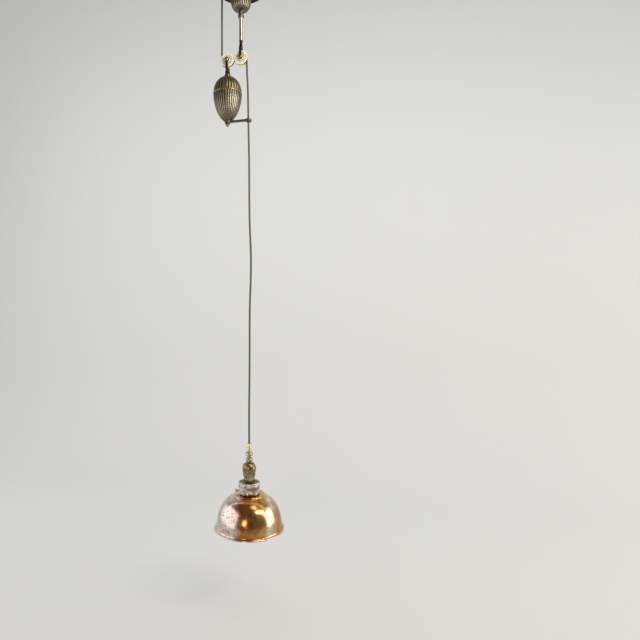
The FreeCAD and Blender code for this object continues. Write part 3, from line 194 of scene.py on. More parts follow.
def shade_copper():
    """Spun copper, once silvered: a pinkish grey bloom on one side, then brown, then gold; the bloom
    and a pale band in the gold also paint the lights' reflections.

    Inside it was never silvered: dull copper, even all round.
    """
    made, tree, place = new_material("spun copper, worn silvering")
    side = add(tree, "ShaderNodeAttribute", attribute_name="outside").outputs["Fac"]
    low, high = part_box("shade")
    reach = (high[0] - low[0]) / 2
    clouds = add(tree, "ShaderNodeTexNoise", {
        "Vector": place, "Scale": 1 / (60 * MM), "Detail": 5, "Roughness": 0.62,
        "Distortion": 0.8,
    })
    mottle = add(tree, "ShaderNodeTexNoise", {
        "Vector": place, "Scale": 1 / (11 * MM), "Detail": 8, "Roughness": 0.72,
    })
    specks = add(tree, "ShaderNodeTexNoise", {
        "Vector": place, "Scale": 1 / (4.6 * MM), "Detail": 3, "Roughness": 0.6,
    })
    # Bloom at the left, then brown, then gold with a pale band, with cloudy edges. The pale bloom is
    # partly a painted reflection of the left window, and the pale band is a painted highlight.
    turned = add(tree, "ShaderNodeMapping", {
        "Vector": place, "Location": (LAMP_X, 0, 0), "Rotation": (0, 0, WEAR_AND_SHEEN_TURN),
    }, vector_type="TEXTURE")
    split = add(tree, "ShaderNodeSeparateXYZ", {"Vector": turned})
    across = add(tree, "ShaderNodeMapRange", {
        "Value": split.outputs["X"], "From Min": -reach, "From Max": reach,
        "To Min": -0.12, "To Max": 0.88,
    })
    wear_and_sheen_place = add(tree, "ShaderNodeMath", {0: clouds, 1: 0.24, 2: across}, operation="MULTIPLY_ADD")
    metal = add(tree, "ShaderNodeValToRGB", {"Fac": wear_and_sheen_place}, stops=[
        (0.24, "#e2d5d0"), (0.35, "#d3b19c"), (0.40, "#b57040"), (0.50, "#b07340"),
        (0.60, "#bb8b50"), (0.71, "#c9a264"), (0.80, "#e6dac6"), (0.90, "#bd9058"),
    ])
    # Dull patches all over, and dark spots that have bitten deepest into the bloom.
    dusty = add(tree, "ShaderNodeValToRGB", {"Fac": mottle}, stops=[
        (0.34, "#c79a7e"), (0.54, "#ffffff"),
    ])
    stains = add(tree, "ShaderNodeValToRGB", {"Fac": specks}, stops=[
        (0.34, "#6a4636"), (0.42, "#ffffff"),
    ])
    faced = add(tree, "ShaderNodeMixRGB", {
        "Fac": side, "Color1": colour("#b98f70"), "Color2": metal,
    })
    dulled = add(tree, "ShaderNodeMixRGB", {"Fac": 0.75, "Color1": faced, "Color2": dusty},
                 blend_type="MULTIPLY")
    bitten = add(tree, "ShaderNodeMapRange", {
        "Value": wear_and_sheen_place, "From Min": 0.32, "From Max": 0.48, "To Min": 0.9, "To Max": 0.35,
    })
    pitted = add(tree, "ShaderNodeMath", {0: bitten, 1: side}, operation="MULTIPLY")
    stained = add(tree, "ShaderNodeMixRGB", {
        "Fac": pitted, "Color1": dulled, "Color2": stains,
    }, blend_type="MULTIPLY")
    # The rolled rim is paler: rubbed back metal, and a painted highlight along the bead.
    at_rim = add(tree, "ShaderNodeMapRange", {
        "Value": split.outputs["Z"], "From Min": low[2] + 5.2 * MM, "From Max": low[2] + 4.0 * MM,
        "To Max": 0.75,
    })
    base = add(tree, "ShaderNodeMixRGB", {
        "Fac": at_rim, "Color1": stained, "Color2": colour("#ddd6c8"),
    })
    # Outside it still shines; inside it is duller.
    satin = add(tree, "ShaderNodeMapRange", {"Value": mottle, "To Min": 0.34, "To Max": 0.56})
    dull = add(tree, "ShaderNodeMath", {0: side, 1: -0.26, 2: satin}, operation="MULTIPLY_ADD")
    bump = add(tree, "ShaderNodeBump", {"Height": mottle, "Distance": 0.2 * MM, "Strength": 0.25})
    shader = add(tree, "ShaderNodeBsdfPrincipled", {
        "Base Color": base, "Metallic": 1.0, "Roughness": dull, "Normal": bump,
    })
    add(tree, "ShaderNodeOutputMaterial", {"Surface": shader})
    return made


def gallery_silver():
    """Silver plate on copper: cloudy, worn through to red in a streak round the middle."""
    made, tree, place = new_material("silver plate worn to copper")
    low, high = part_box("gallery")
    side = add(tree, "ShaderNodeAttribute", attribute_name="outside").outputs["Fac"]
    wear = add(tree, "ShaderNodeTexNoise", {
        "Vector": place, "Scale": 1 / (14 * MM), "Detail": 6, "Roughness": 0.68,
        "Distortion": 0.6,
    })
    specks = add(tree, "ShaderNodeTexNoise", {
        "Vector": place, "Scale": 1 / (2.2 * MM), "Detail": 3, "Roughness": 0.6,
    })
    # The red streak is a ragged band round the middle, and it ends at the left.
    turned = add(tree, "ShaderNodeMapping", {
        "Vector": place, "Location": (LAMP_X, 0, low[2]), "Rotation": (0, 0, WEAR_AND_SHEEN_TURN),
        "Scale": (high[0] - low[0], high[0] - low[0], high[2] - low[2]),
    }, vector_type="TEXTURE")
    split = add(tree, "ShaderNodeSeparateXYZ", {"Vector": turned})
    streaks = add(tree, "ShaderNodeTexNoise", {
        "Vector": turned, "Scale": 5, "Detail": 5, "Roughness": 0.7,
    })
    ragged = add(tree, "ShaderNodeMath", {0: streaks, 1: 0.5, 2: split.outputs["Z"]},
                 operation="MULTIPLY_ADD")
    streak = add(tree, "ShaderNodeValToRGB", {"Fac": ragged}, stops=[
        (0.60, "#000000"), (0.67, "#ffffff"), (0.86, "#ffffff"), (0.94, "#000000"),
    ])
    way_round = add(tree, "ShaderNodeMapRange", {
        "Value": split.outputs["X"], "From Min": -0.22, "From Max": -0.08, "To Max": 0.85,
    })
    bared = add(tree, "ShaderNodeMath", {0: streak, 1: way_round}, operation="MULTIPLY")
    plate = add(tree, "ShaderNodeValToRGB", {"Fac": wear}, stops=[
        (0.34, "#857a6b"), (0.46, "#b9b1a6"), (0.56, "#e4dfd8"),
    ])
    worn = add(tree, "ShaderNodeMixRGB", {
        "Fac": bared, "Color1": plate, "Color2": colour("#a4553c"),
    })
    stains = add(tree, "ShaderNodeValToRGB", {"Fac": specks}, stops=[
        (0.30, "#5f5348"), (0.43, "#ffffff"),
    ])
    spotted = add(tree, "ShaderNodeMixRGB", {"Fac": 0.5, "Color1": worn, "Color2": stains},
                  blend_type="MULTIPLY")
    base = add(tree, "ShaderNodeMixRGB", {
        "Fac": side, "Color1": colour("#6d5333"), "Color2": spotted,
    })
    dull = add(tree, "ShaderNodeMapRange", {"Value": wear, "To Min": 0.18, "To Max": 0.36})
    bump = add(tree, "ShaderNodeBump", {"Height": wear, "Distance": 0.2 * MM, "Strength": 0.4})
    shader = add(tree, "ShaderNodeBsdfPrincipled", {
        "Base Color": base, "Metallic": 1.0, "Roughness": dull, "Normal": bump,
    })
    add(tree, "ShaderNodeOutputMaterial", {"Surface": shader})
    return made


def forged_steel(name, codes, roughness):
    """Steel strap and rod: mill scale or plating, with a little brown in patches."""
    made, tree, place = new_material(name)
    scale = add(tree, "ShaderNodeTexNoise", {
        "Vector": place, "Scale": 1 / (5 * MM), "Detail": 6, "Roughness": 0.7,
    })
    grain = add(tree, "ShaderNodeTexNoise", {"Vector": place, "Scale": 1 / (0.6 * MM)})
    base = add(tree, "ShaderNodeValToRGB", {"Fac": scale}, stops=[
        (0.32, codes[0]), (0.50, codes[1]), (0.68, codes[2]),
    ])
    dull = add(tree, "ShaderNodeMapRange", {
        "Value": scale, "To Min": roughness, "To Max": roughness + 0.2,
    })
    bump = add(tree, "ShaderNodeBump", {"Height": grain, "Distance": 0.08 * MM, "Strength": 0.5})
    shader = add(tree, "ShaderNodeBsdfPrincipled", {
        "Base Color": base, "Metallic": 1.0, "Roughness": dull, "Normal": bump,
    })
    add(tree, "ShaderNodeOutputMaterial", {"Surface": shader})
    return made


def glazed_porcelain():
    """Cream porcelain under a clear glaze, crazed, with brown dirt and painted shade in the turned
    steps.
    """
    made, tree, place = new_material("porcelain, cream glaze")
    stain = add(tree, "ShaderNodeTexNoise", {
        "Vector": place, "Scale": 1 / (8 * MM), "Detail": 5, "Roughness": 0.6,
    })
    craze = add(tree, "ShaderNodeTexVoronoi", {"Vector": place, "Scale": 1 / (3.2 * MM)},
                feature="DISTANCE_TO_EDGE")
    soil_and_shade = add(tree, "ShaderNodeAttribute", attribute_name="recess").outputs["Fac"]
    cream = add(tree, "ShaderNodeValToRGB", {"Fac": stain}, stops=[
        (0.32, "#efe9d6"), (0.50, "#f7f4ea"), (0.68, "#fcfaf5"),
    ])
    lines = add(tree, "ShaderNodeValToRGB", {"Fac": craze}, stops=[
        (0.0, "#b9a377"), (0.035, "#ffffff"),
    ])
    crazed = add(tree, "ShaderNodeMixRGB", {"Fac": 0.3, "Color1": cream, "Color2": lines},
                 blend_type="MULTIPLY")
    dirt_and_shade = add(tree, "ShaderNodeValToRGB", {"Fac": soil_and_shade}, stops=[
        (0.0, "#ffffff"), (0.30, "#f1e4c0"), (1.0, "#7d683c"),
    ])
    base = add(tree, "ShaderNodeMixRGB", {"Fac": 1.0, "Color1": crazed, "Color2": dirt_and_shade},
               blend_type="MULTIPLY")
    dull = add(tree, "ShaderNodeMapRange", {"Value": stain, "To Min": 0.16, "To Max": 0.30})
    shader = add(tree, "ShaderNodeBsdfPrincipled", {
        "Base Color": base, "Roughness": dull, "Coat Weight": 0.5, "Coat Roughness": 0.06,
        "Subsurface Weight": 0.08, "Subsurface Radius": (2 * MM, 1.6 * MM, 1.0 * MM),
    })
    add(tree, "ShaderNodeOutputMaterial", {"Surface": shader})
    return made


def braided_cotton():
    """Cotton braid over the cores: two sets of strands crossing at 45 degrees.

    The real strands are about 0.9 mm wide; they are drawn at 1.4 mm so that they show.
    """
    made, tree, place = new_material("cotton braid, olive grey")
    strand_count = 12
    strand_width = math.tau * FLEX_RADIUS / strand_count
    braid = add(tree, "ShaderNodeUVMap", uv_map="braid")
    split = add(tree, "ShaderNodeSeparateXYZ", {"Vector": braid})
    turns = add(tree, "ShaderNodeMath", {0: split.outputs["X"], 1: strand_count},
                operation="MULTIPLY")
    rise = add(tree, "ShaderNodeMath", {0: split.outputs["Y"], 1: 1 / strand_width},
               operation="MULTIPLY")
    strands = []
    for way in ("ADD", "SUBTRACT"):
        phase = add(tree, "ShaderNodeMath", {0: turns, 1: rise}, operation=way)
        strands.append(add(tree, "ShaderNodeMath", {0: phase, 1: 1.0}, operation="PINGPONG"))
    over = add(tree, "ShaderNodeMath", {0: strands[0], 1: strands[1]}, operation="MAXIMUM")
    fibre = add(tree, "ShaderNodeTexNoise", {
        "Vector": place, "Scale": 1 / (0.5 * MM), "Detail": 4, "Roughness": 0.7,
    })
    soiling = add(tree, "ShaderNodeTexNoise", {"Vector": place, "Scale": 1 / (30 * MM)})
    cotton = add(tree, "ShaderNodeValToRGB", {"Fac": over}, stops=[
        (0.25, "#262620"), (0.60, "#4c4c42"), (0.95, "#646358"),
    ])
    soiled = add(tree, "ShaderNodeMapRange", {"Value": soiling, "To Max": 0.35})
    base = add(tree, "ShaderNodeMixRGB", {
        "Fac": soiled, "Color1": cotton, "Color2": colour("#453f30"),
    })
    height = add(tree, "ShaderNodeMath", {0: fibre, 1: 0.25, 2: over}, operation="MULTIPLY_ADD")
    bump = add(tree, "ShaderNodeBump", {"Height": height, "Distance": 0.35 * MM, "Strength": 0.8})
    shader = add(tree, "ShaderNodeBsdfPrincipled", {
        "Base Color": base, "Roughness": 0.82, "Sheen Weight": 0.35, "Sheen Roughness": 0.5,
        "Normal": bump,
    })
    add(tree, "ShaderNodeOutputMaterial", {"Surface": shader})
    return made


def cast_iron():
    """Rough cast iron, painted over long ago: matt and nearly black."""
    made, tree, place = new_material("cast iron, black")
    grain = add(tree, "ShaderNodeTexNoise", {
        "Vector": place, "Scale": 1 / (1.5 * MM), "Detail": 5, "Roughness": 0.7,
    })
    base = add(tree, "ShaderNodeValToRGB", {"Fac": grain}, stops=[
        (0.35, "#26221f"), (0.65, "#4a3d33"),
    ])
    bump = add(tree, "ShaderNodeBump", {"Height": grain, "Distance": 0.3 * MM, "Strength": 0.7})
    shader = add(tree, "ShaderNodeBsdfPrincipled", {
        "Base Color": base, "Metallic": 0.6, "Roughness": 0.75, "Normal": bump,
    })
    add(tree, "ShaderNodeOutputMaterial", {"Surface": shader})
    return made


def black_fibre():
    """Moulded fibre: matt black with a fine speckle."""
    made, tree, place = new_material("moulded fibre, black")
    grain = add(tree, "ShaderNodeTexNoise", {"Vector": place, "Scale": 1 / (0.8 * MM)})
    base = add(tree, "ShaderNodeValToRGB", {"Fac": grain}, stops=[
        (0.35, "#161513"), (0.70, "#2d2a26"),
    ])
    shader = add(tree, "ShaderNodeBsdfPrincipled", {"Base Color": base, "Roughness": 0.55})
    add(tree, "ShaderNodeOutputMaterial", {"Surface": shader})
    return made


FINISHES = {
    # Pewter grey-brown, lighter along the crests: rubbed wear and a painted highlight.
    "dark_bronze": cast_metal(
        "cast bronze, dark patina", ["#3b3222", "#5a4f3a", "#6f6650"], bare_and_sheen="#a9a496",
        grime="#1f1c17", patina_size=14, worn_from=0.62, worn=0.7, grime_to=0.72, shine=0.30,
    ),
    "antique_brass": turned_brass("turned brass, aged", ["#463722", "#83704c", "#c8b993"], 0.14),
    "pale_brass": turned_brass("turned brass, pale", ["#9c9070", "#cfc6a6", "#e9e2ca"], 0.18, 14),
    "silvered_copper": gallery_silver(),
    "copper_shade": shade_copper(),
    "dark_steel": forged_steel("forged steel, browned", ["#251c12", "#40321f", "#604d32"], 0.34),
    "zinc_steel": forged_steel("steel, zinc plated", ["#77746c", "#9b9991", "#b5b3ac"], 0.28),
    "iron_ballast": cast_iron(),
    "glazed_porcelain": glazed_porcelain(),
    "black_fibre": black_fibre(),
    "braided_flex": braided_cotton(),
}
# Pieces that look unlike the rest of their slot.
OWN_FINISHES = {
    # Brown lacquer, worn to dull yellow along the reeds and the band, which also paints their
    # highlights.
    "weight_lid": cast_metal(
        "cast brass, brown lacquer", ["#453820", "#665538", "#7f6e4c"], bare_and_sheen="#bfae80",
        grime="#2e2414", patina_size=10, worn_from=0.50, worn=0.65, grime_to=0.58, shine=0.26,
    ),
    # Brass with nearly all of its plating or lacquer shines silver-grey.
    **dict.fromkeys(
        ("knob_upper", "knob_lower"),
        turned_brass("turned brass, silvery", ["#6d6350", "#b1a999", "#e0dacd"], 0.14, 6),
    ),
    # The thumb screws are paler still: silver plate, and a painted highlight where they catch the
    # light.
    **dict.fromkeys(
        ("thumb_screw_1", "thumb_screw_2", "thumb_screw_3"),
        turned_brass("turned brass, silver plate", ["#a39b8c", "#d6d0c4", "#f2efe8"], 0.2, 4),
    ),
    **dict.fromkeys(
        ("guide_arm", "guide_ferrule", "cup_collar"),
        forged_steel("steel, dull", ["#4a453a", "#6b6658", "#8a8576"], 0.32),
    ),
}
SLOTS = {part["node"]: part["material_slot"] for part in frame["record"]["subparts"]}


def finish_of(node):
    """The material of a CAD node: its own, or else its slot's."""
    return OWN_FINISHES.get(node, FINISHES[SLOTS[node]])


def body_of(node):
    """The body that a CAD node moves with."""
    bodies = frame["record"]["behaviour"]["bodies"]
    return next(body for body, members in bodies.items() if node in members)


def dress_frame():
    """Every CAD node takes its finish."""
    for name, node in nodes.items():
        node.data.materials.clear()
        node.data.materials.append(finish_of(name))


# ---------------------------------------------------------------- turned pieces
def lathe(outline, steps, mark="outside", x=0.0):
    """A turned solid round an upright axis at x, from a closed loop of (radius, height, value).

    The value goes to the attribute that mark names, for the finish or the reeds to read.
    """
    verts, marks, rings = [], [], []
    for radius, height, value in outline:
        pole = radius < 1e-7
        count = 1 if pole else steps
        rings.append([len(verts) + (0 if pole else k) for k in range(steps)])
        for k in range(count):
            angle = math.tau * k / steps
            verts.append((x + radius * math.cos(angle), radius * math.sin(angle), height))
            marks.append(value)
    faces = []
    for here, after in zip(rings, rings[1:] + rings[:1]):
        for k in range(steps):
            n = (k + 1) % steps
            corners = list(dict.fromkeys((here[k], here[n], after[n], after[k])))
            if len(corners) > 2:
                faces.append(corners)
    mesh = bpy.data.meshes.new("turned")
    mesh.from_pydata(verts, [], faces)
    mesh.attributes.new(mark, "FLOAT", "POINT").data.foreach_set("value", marks)
    skin = bmesh.new()
    skin.from_mesh(mesh)
    bmesh.ops.recalc_face_normals(skin, faces=skin.faces)
    skin.to_mesh(mesh)
    skin.free()
    return soften(mesh)


def soften(mesh, angle=35):
    """Smooth shading, with the edges past that angle kept sharp."""
    mesh.shade_smooth()
    mesh.set_sharp_from_angle(angle=math.radians(angle))
    return mesh


def stand_in(node, name, mesh):
    """Puts a mesh in the scene in a CAD node's place, body, slot and finish."""
    mesh.name = name
    mesh.materials.clear()
    mesh.materials.append(finish_of(node))
    piece = bpy.data.objects.new(name, mesh)
    scene.collection.objects.link(piece)
    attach(piece, body_of(node))
    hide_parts(node)


def arc(radius, height, size, first, last, steps, value=1):
    """Points of a round stretch of an outline about (radius, height), angles in degrees."""
    points = []
    for step in range(steps + 1):
        angle = math.radians(first + (last - first) * step / steps)
        points.append((radius + size * math.cos(angle), height + size * math.sin(angle), value))
    return points


def along(function, first, last, steps):
    """The points that function gives for steps + 1 shares from first to last."""
    return [function(first + (last - first) * step / steps) for step in range(steps + 1)]


# ---------------------------------------------------------------- reeds
def reeding_tree():
    """Presses convex reeds into a turned piece where its reeded attribute is 1."""
    tree = bpy.data.node_groups.new("reeding", "GeometryNodeTree")
    for name, kind in (("Geometry", "Geometry"), ("Reeds", "Float"), ("Depth", "Float"),
                       ("Axis X", "Float"), ("Widest", "Float"), ("Finish", "Material")):
        tree.interface.new_socket(name=name, in_out="INPUT", socket_type=f"NodeSocket{kind}")
    tree.interface.new_socket(name="Geometry", in_out="OUTPUT", socket_type="NodeSocketGeometry")
    given = add(tree, "NodeGroupInput").outputs
    mask = add(tree, "GeometryNodeInputNamedAttribute", {"Name": "reeded"}, data_type="FLOAT")

    # Where each point stands round the axis.
    place = add(tree, "ShaderNodeSeparateXYZ", {0: add(tree, "GeometryNodeInputPosition")})
    away = add(tree, "ShaderNodeMath", {0: place.outputs["X"], 1: given["Axis X"]},
               operation="SUBTRACT")
    flat = add(tree, "ShaderNodeCombineXYZ", {"X": away, "Y": place.outputs["Y"]})
    radius = add(tree, "ShaderNodeVectorMath", {0: flat}, operation="LENGTH").outputs["Value"]
    outward = add(tree, "ShaderNodeVectorMath", {0: flat}, operation="NORMALIZE")
    angle = add(tree, "ShaderNodeMath", {0: place.outputs["Y"], 1: away}, operation="ARCTAN2")

    # The crest of a reed is 1 and the hollow between two is 0.
    reeds = add(tree, "ShaderNodeMath", {0: angle, 1: given["Reeds"]}, operation="MULTIPLY")
    half = add(tree, "ShaderNodeMath", {0: reeds, 1: 0.5}, operation="MULTIPLY")
    wave = add(tree, "ShaderNodeMath", {0: half}, operation="COSINE")
    crest = add(tree, "ShaderNodeMath", {0: wave}, operation="ABSOLUTE")

    # The reeds are deepest where the piece is widest, and only where it is reeded.
    falloff = 1.4
    share = add(tree, "ShaderNodeMath", {0: radius, 1: given["Widest"]}, operation="DIVIDE")
    fading = add(tree, "ShaderNodeMath", {0: share, 1: falloff}, operation="POWER")
    depth = add(tree, "ShaderNodeMath", {0: fading, 1: given["Depth"]}, operation="MULTIPLY")
    masked = add(tree, "ShaderNodeMath", {0: depth, 1: mask}, operation="MULTIPLY")
    below = add(tree, "ShaderNodeMath", {0: crest, 1: 1.0}, operation="SUBTRACT")
    push = add(tree, "ShaderNodeMath", {0: below, 1: masked}, operation="MULTIPLY")
    offset = add(tree, "ShaderNodeVectorMath", {0: outward, "Scale": push}, operation="SCALE")
    pressed = add(tree, "GeometryNodeSetPosition", {
        "Geometry": given["Geometry"], "Offset": offset,
    })

    # The finish reads where each point is on a reed, for its wear and its painted highlight: plain
    # parts count as nearly at a crest.
    plain = 0.8
    lower = add(tree, "ShaderNodeMath", {0: crest, 1: plain}, operation="SUBTRACT")
    worn = add(tree, "ShaderNodeMath", {0: lower, 1: mask, 2: plain}, operation="MULTIPLY_ADD")
    marked = add(tree, "GeometryNodeStoreNamedAttribute", {
        "Geometry": pressed, "Name": "crest", "Value": worn,
    }, data_type="FLOAT", domain="POINT")
    whole = add(tree, "GeometryNodeRealizeInstances", {"Geometry": marked})
    dressed = add(tree, "GeometryNodeSetMaterial", {"Geometry": whole, "Material": given["Finish"]})
    add(tree, "NodeGroupOutput", {"Geometry": dressed})
    return tree


REEDING = reeding_tree()


def reeded(mesh, node, reeds, depth, x, widest):
    """A mesh with its reeds pressed in, as a plain mesh in the node's finish."""
    blank = bpy.data.objects.new("blank", mesh)
    scene.collection.objects.link(blank)
    press = blank.modifiers.new("reeding", "NODES")
    press.node_group = REEDING
    values = {"Reeds": float(reeds), "Depth": depth, "Axis X": x, "Widest": widest,
              "Finish": finish_of(node)}
    for socket in REEDING.interface.items_tree:
        if socket.in_out == "INPUT" and socket.name in values:
            press[socket.identifier] = values[socket.name]
    depsgraph = bpy.context.evaluated_depsgraph_get()
    pressed = bpy.data.meshes.new_from_object(blank.evaluated_get(depsgraph), depsgraph=depsgraph)
    blank.modifiers.clear()
    bpy.data.objects.remove(blank)
    return soften(pressed, 40)


def fluted(node, name, outline, reeds, fineness, depth, x, widest):
    """A turned and reeded piece in a CAD node's place; fineness is the points on one reed."""
    mesh = lathe(outline, reeds * fineness, "reeded", x)
    stand_in(node, name, reeded(mesh, node, reeds, depth, x, widest))


def ceiling_cup():
    """The fluted cup under the ceiling plate, upright and then drawn in to the collar."""
    low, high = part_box("ceiling_cup")
    wide, foot, wall = (high[0] - low[0]) / 2, 10 * MM, 3 * MM
    turn = low[2] + 34 * MM

    def side(reach, bottom, mark):
        def point(share):
            angle = share * math.pi / 2
            radius = foot + (reach - foot) * math.cos(angle) ** 0.8
            return radius, turn - (turn - bottom) * math.sin(angle), mark
        return point

    outline = arc(wide - 0.8 * MM, high[2] - 0.8 * MM, 0.8 * MM, 90, 0, 4, 0)
    outline += [(wide, high[2] - 2.4 * MM, 0), (wide, high[2] - 3.0 * MM, 1)]
    outline += along(side(wide, low[2], 1), 0, 0.97, 22)
    outline += [(foot, low[2], 0), (6 * MM, low[2], 0), (6 * MM, low[2] + wall, 0)]
    outline += along(side(wide - wall, low[2] + wall, 0), 0.97, 0, 12)
    outline += [(wide - wall, high[2], 0)]
    fluted("ceiling_cup", "fluted_ceiling_cup", outline, 24, 12, 1.6 * MM, 0.0, wide)


def weight_lid():
    """The fluted dome of the weight, with the plain band where it meets the body."""
    low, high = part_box("weight_lid")
    reach, wall, hole = (high[0] - low[0]) / 2, 3 * MM, 3.2 * MM
    bead = 2.4 * MM
    band = low[2] + 5 * MM + bead
    wide, foot = reach - 0.9 * MM, band + bead
    rise = high[2] - foot
    # The dome would close at 1, and the flat for the nut cuts it here.
    flat = 0.975

    def dome(inset, mark):
        def point(share):
            radius = wide * math.sqrt(1 - share * share) ** 0.9 - inset
            return radius, foot + (rise - inset) * share / flat, mark
        return point

    outline = [(hole, high[2], 0), (9.0 * MM, high[2], 0)]
    outline += along(dome(0, 1), flat, 0.01, 26)
    outline += [(wide - 0.2 * MM, foot, 0), (wide - 0.2 * MM, foot - 0.4 * MM, 0)]
    outline += arc(reach - bead, band, bead, 72, -72, 12, 0)
    outline += [(reach - 5 * MM, band - bead, 0), (reach - 5 * MM, low[2], 0),
                (reach - 7 * MM, low[2], 0), (reach - 7 * MM, foot, 0)]
    outline += along(dome(wall, 0), 0.08, flat, 12)
    outline += [(hole, high[2] - wall, 0)]
    fluted("weight_lid", "fluted_weight_lid", outline, 28, 10, 1.5 * MM, WEIGHT_X, wide)


def weight_body():
    """The fluted body of the weight: full at the band, then drawn in to a blunt foot."""
    low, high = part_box("weight_body")
    wide, wall, hole = (high[0] - low[0]) / 2, 3 * MM, 3.2 * MM
    fall = high[2] - low[2]
    # The egg would close at 1, and its blunt foot cuts it here.
    blunt = 0.97

    def egg(inset, mark):
        def point(share):
            radius = wide * math.sqrt(1 - share ** 1.68) - inset
            return radius, high[2] - (fall - inset) * share / blunt, mark
        return point

    outline = [(wide - wall, high[2], 0), (wide - 1.2 * MM, high[2], 0)]
    outline += along(egg(0, 1), 0.004, 0.965, 40)
    outline += [(9 * MM, low[2], 0), (hole, low[2], 0), (hole, low[2] + wall, 0)]
    outline += along(egg(wall, 0), 0.96, 0.02, 16)
    fluted("weight_body", "fluted_weight_body", outline, 36, 8, 1.1 * MM, WEIGHT_X, wide)


# ---------------------------------------------------------------- porcelain pulleys
def pulleys():
    """Two grooved wheels with stepped rings on their faces; recess tells where dirt and painted
    shade lie.
    """
    for node, centre in (("upper_pulley", UPPER_WHEEL), ("lower_pulley", LOWER_WHEEL)):
        low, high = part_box(node)
        reach, half = (high[0] - low[0]) / 2, (high[1] - low[1]) / 2
        groove, edge = 3.0 * MM, 1.1 * MM

        def face(way):
            """One face, from the bore out to the rim: radius and depth in mm, and dirt with painted
            shade.
            """
            steps = [(5.05, 0, 0.8), (6.4, 0, 0.2), (8.0, 0.1, 0.2), (8.7, 0.75, 0.8),
                     (9.0, 0.9, 1.0), (9.9, 0.9, 0.9), (10.3, 0.75, 0.4), (10.9, 0.3, 0.2),
                     (13.0, 0.3, 0.2), (13.5, 0.6, 0.6), (13.9, 0.9, 0.8), (14.5, 0.15, 0.2),
                     (14.9, 0, 0.0)]
            ring = [(r * MM, (half - deep * MM) * way, dirt_and_shade) for r, deep, dirt_and_shade in steps]
            return ring + arc(reach - edge, (half - edge) * way, edge, 90 * way, 0, 6, 0.05)

        # The groove's round bottom ends this many degrees short, and its flanks open from there.
        flank, steepness = 19.47, 2.83
        turn = math.radians(flank)
        opening = reach - PITCH_RADIUS + groove * math.sin(turn)
        lip = groove * math.cos(turn) + opening / steepness
        outline = face(1) + [(reach, lip, 0.2)]
        outline += arc(PITCH_RADIUS, 0, groove, 90 + flank, 270 - flank, 12, 0.8)
        outline += [(reach, -lip, 0.2)] + face(-1)[::-1]
        mesh = lathe(outline, 96, "recess")
        mesh.transform(Matrix.Translation(centre) @ Matrix.Rotation(math.pi / 2, 4, "X"))
        stand_in(node, f"porcelain_{node}", mesh)


# ---------------------------------------------------------------- lamp head
def swept(points, steps=6, value=1):
    """A smooth outline through (radius, height) points in metres, with a cubic between each two.

    Each cubic leaves a point in the direction from the one before it to the one after it.
    """
    padded = [points[0]] + points + [points[-1]]
    line = []
    for before, start, end, after in zip(padded, padded[1:], padded[2:], padded[3:]):
        for step in range(steps):
            t = step / steps
            line.append(tuple(
                0.5 * (2 * b + (c - a) * t + (2 * a - 5 * b + 4 * c - e) * t * t
                       + (3 * b - a - 3 * c + e) * t * t * t)
                for a, b, c, e in zip(before, start, end, after)
            ) + (value,))
    return line + [(*points[-1], value)]


def knobs():
    """Two turned balls, each between short necks with a fine step at its foot."""
    for node in ("knob_upper", "knob_lower"):
        low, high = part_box(node)
        reach, neck, bore = (high[0] - low[0]) / 2, 5.6 * MM, 4.7 * MM
        middle = (low[2] + high[2]) / 2
        ball = (high[2] - low[2]) / 2 - 1.7 * MM
        squash = ball / math.sqrt(reach * reach - neck * neck)
        limit = math.acos(neck / reach)

        def round_part(angle):
            return reach * math.cos(angle), middle + reach * math.sin(angle) * squash, 1

        outline = [(bore, high[2], 0), (neck * 0.96, high[2], 1), (neck, high[2] - 0.3 * MM, 1),
                   (neck, middle + ball + 0.25 * MM, 1)]
        outline += along(round_part, limit, -limit, 24)
        outline += [(neck, middle - ball - 0.25 * MM, 1), (neck, low[2] + 0.3 * MM, 1),
                    (neck * 0.96, low[2], 1), (bore, low[2], 0)]
        stand_in(node, f"turned_{node}", lathe(outline, 72, x=LAMP_X))


def cord_grip():
    """The tapered grip that the flex goes into, with a rounded top and a rolled foot."""
    low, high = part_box("cord_grip")
    top, foot, bore = 6.2 * MM, (high[0] - low[0]) / 2, 3.0 * MM
    outline = [(bore, high[2], 0)] + arc(top - 0.9 * MM, high[2] - 0.9 * MM, 0.9 * MM, 90, 8, 5)
    outline += [(foot - 0.5 * MM, low[2] + 4.2 * MM, 1), (foot - 0.4 * MM, low[2] + 3.6 * MM, 1)]
    outline += arc(foot - 1.3 * MM, low[2] + 1.6 * MM, 1.3 * MM, 60, -80, 8)
    outline += [(bore, low[2], 0)]
    stand_in("cord_grip", "tapered_cord_grip", lathe(outline, 72, x=LAMP_X))


def holder_cap():
    """The bell of the lamp holder: rounded shoulders, a long taper and a beaded foot."""
    low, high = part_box("holder_cap")
    bell = [(9.0, 0.0), (12.6, 1.2), (15.7, 4.2), (18.0, 8.6), (19.2, 13.0), (19.35, 16.4),
            (18.9, 21.0), (18.2, 26.0), (17.35, 31.6), (17.1, 33.0)]
    bore, wall, bead = 4.7 * MM, 1.2 * MM, 1.2 * MM
    outline = [(bore, high[2], 0)] + swept([(r * MM, high[2] - d * MM) for r, d in bell])
    outline += arc(16.5 * MM, low[2] + bead, bead, 60, -90, 8)
    outline += [(16.0 * MM, low[2], 0)]
    outline += swept([(r * MM - wall, high[2] - d * MM - wall) for r, d in bell[-2::-1]], 3, 0)
    outline += [(bore, high[2] - wall, 0)]
    stand_in("holder_cap", "bell_holder_cap", lathe(outline, 96, x=LAMP_X))


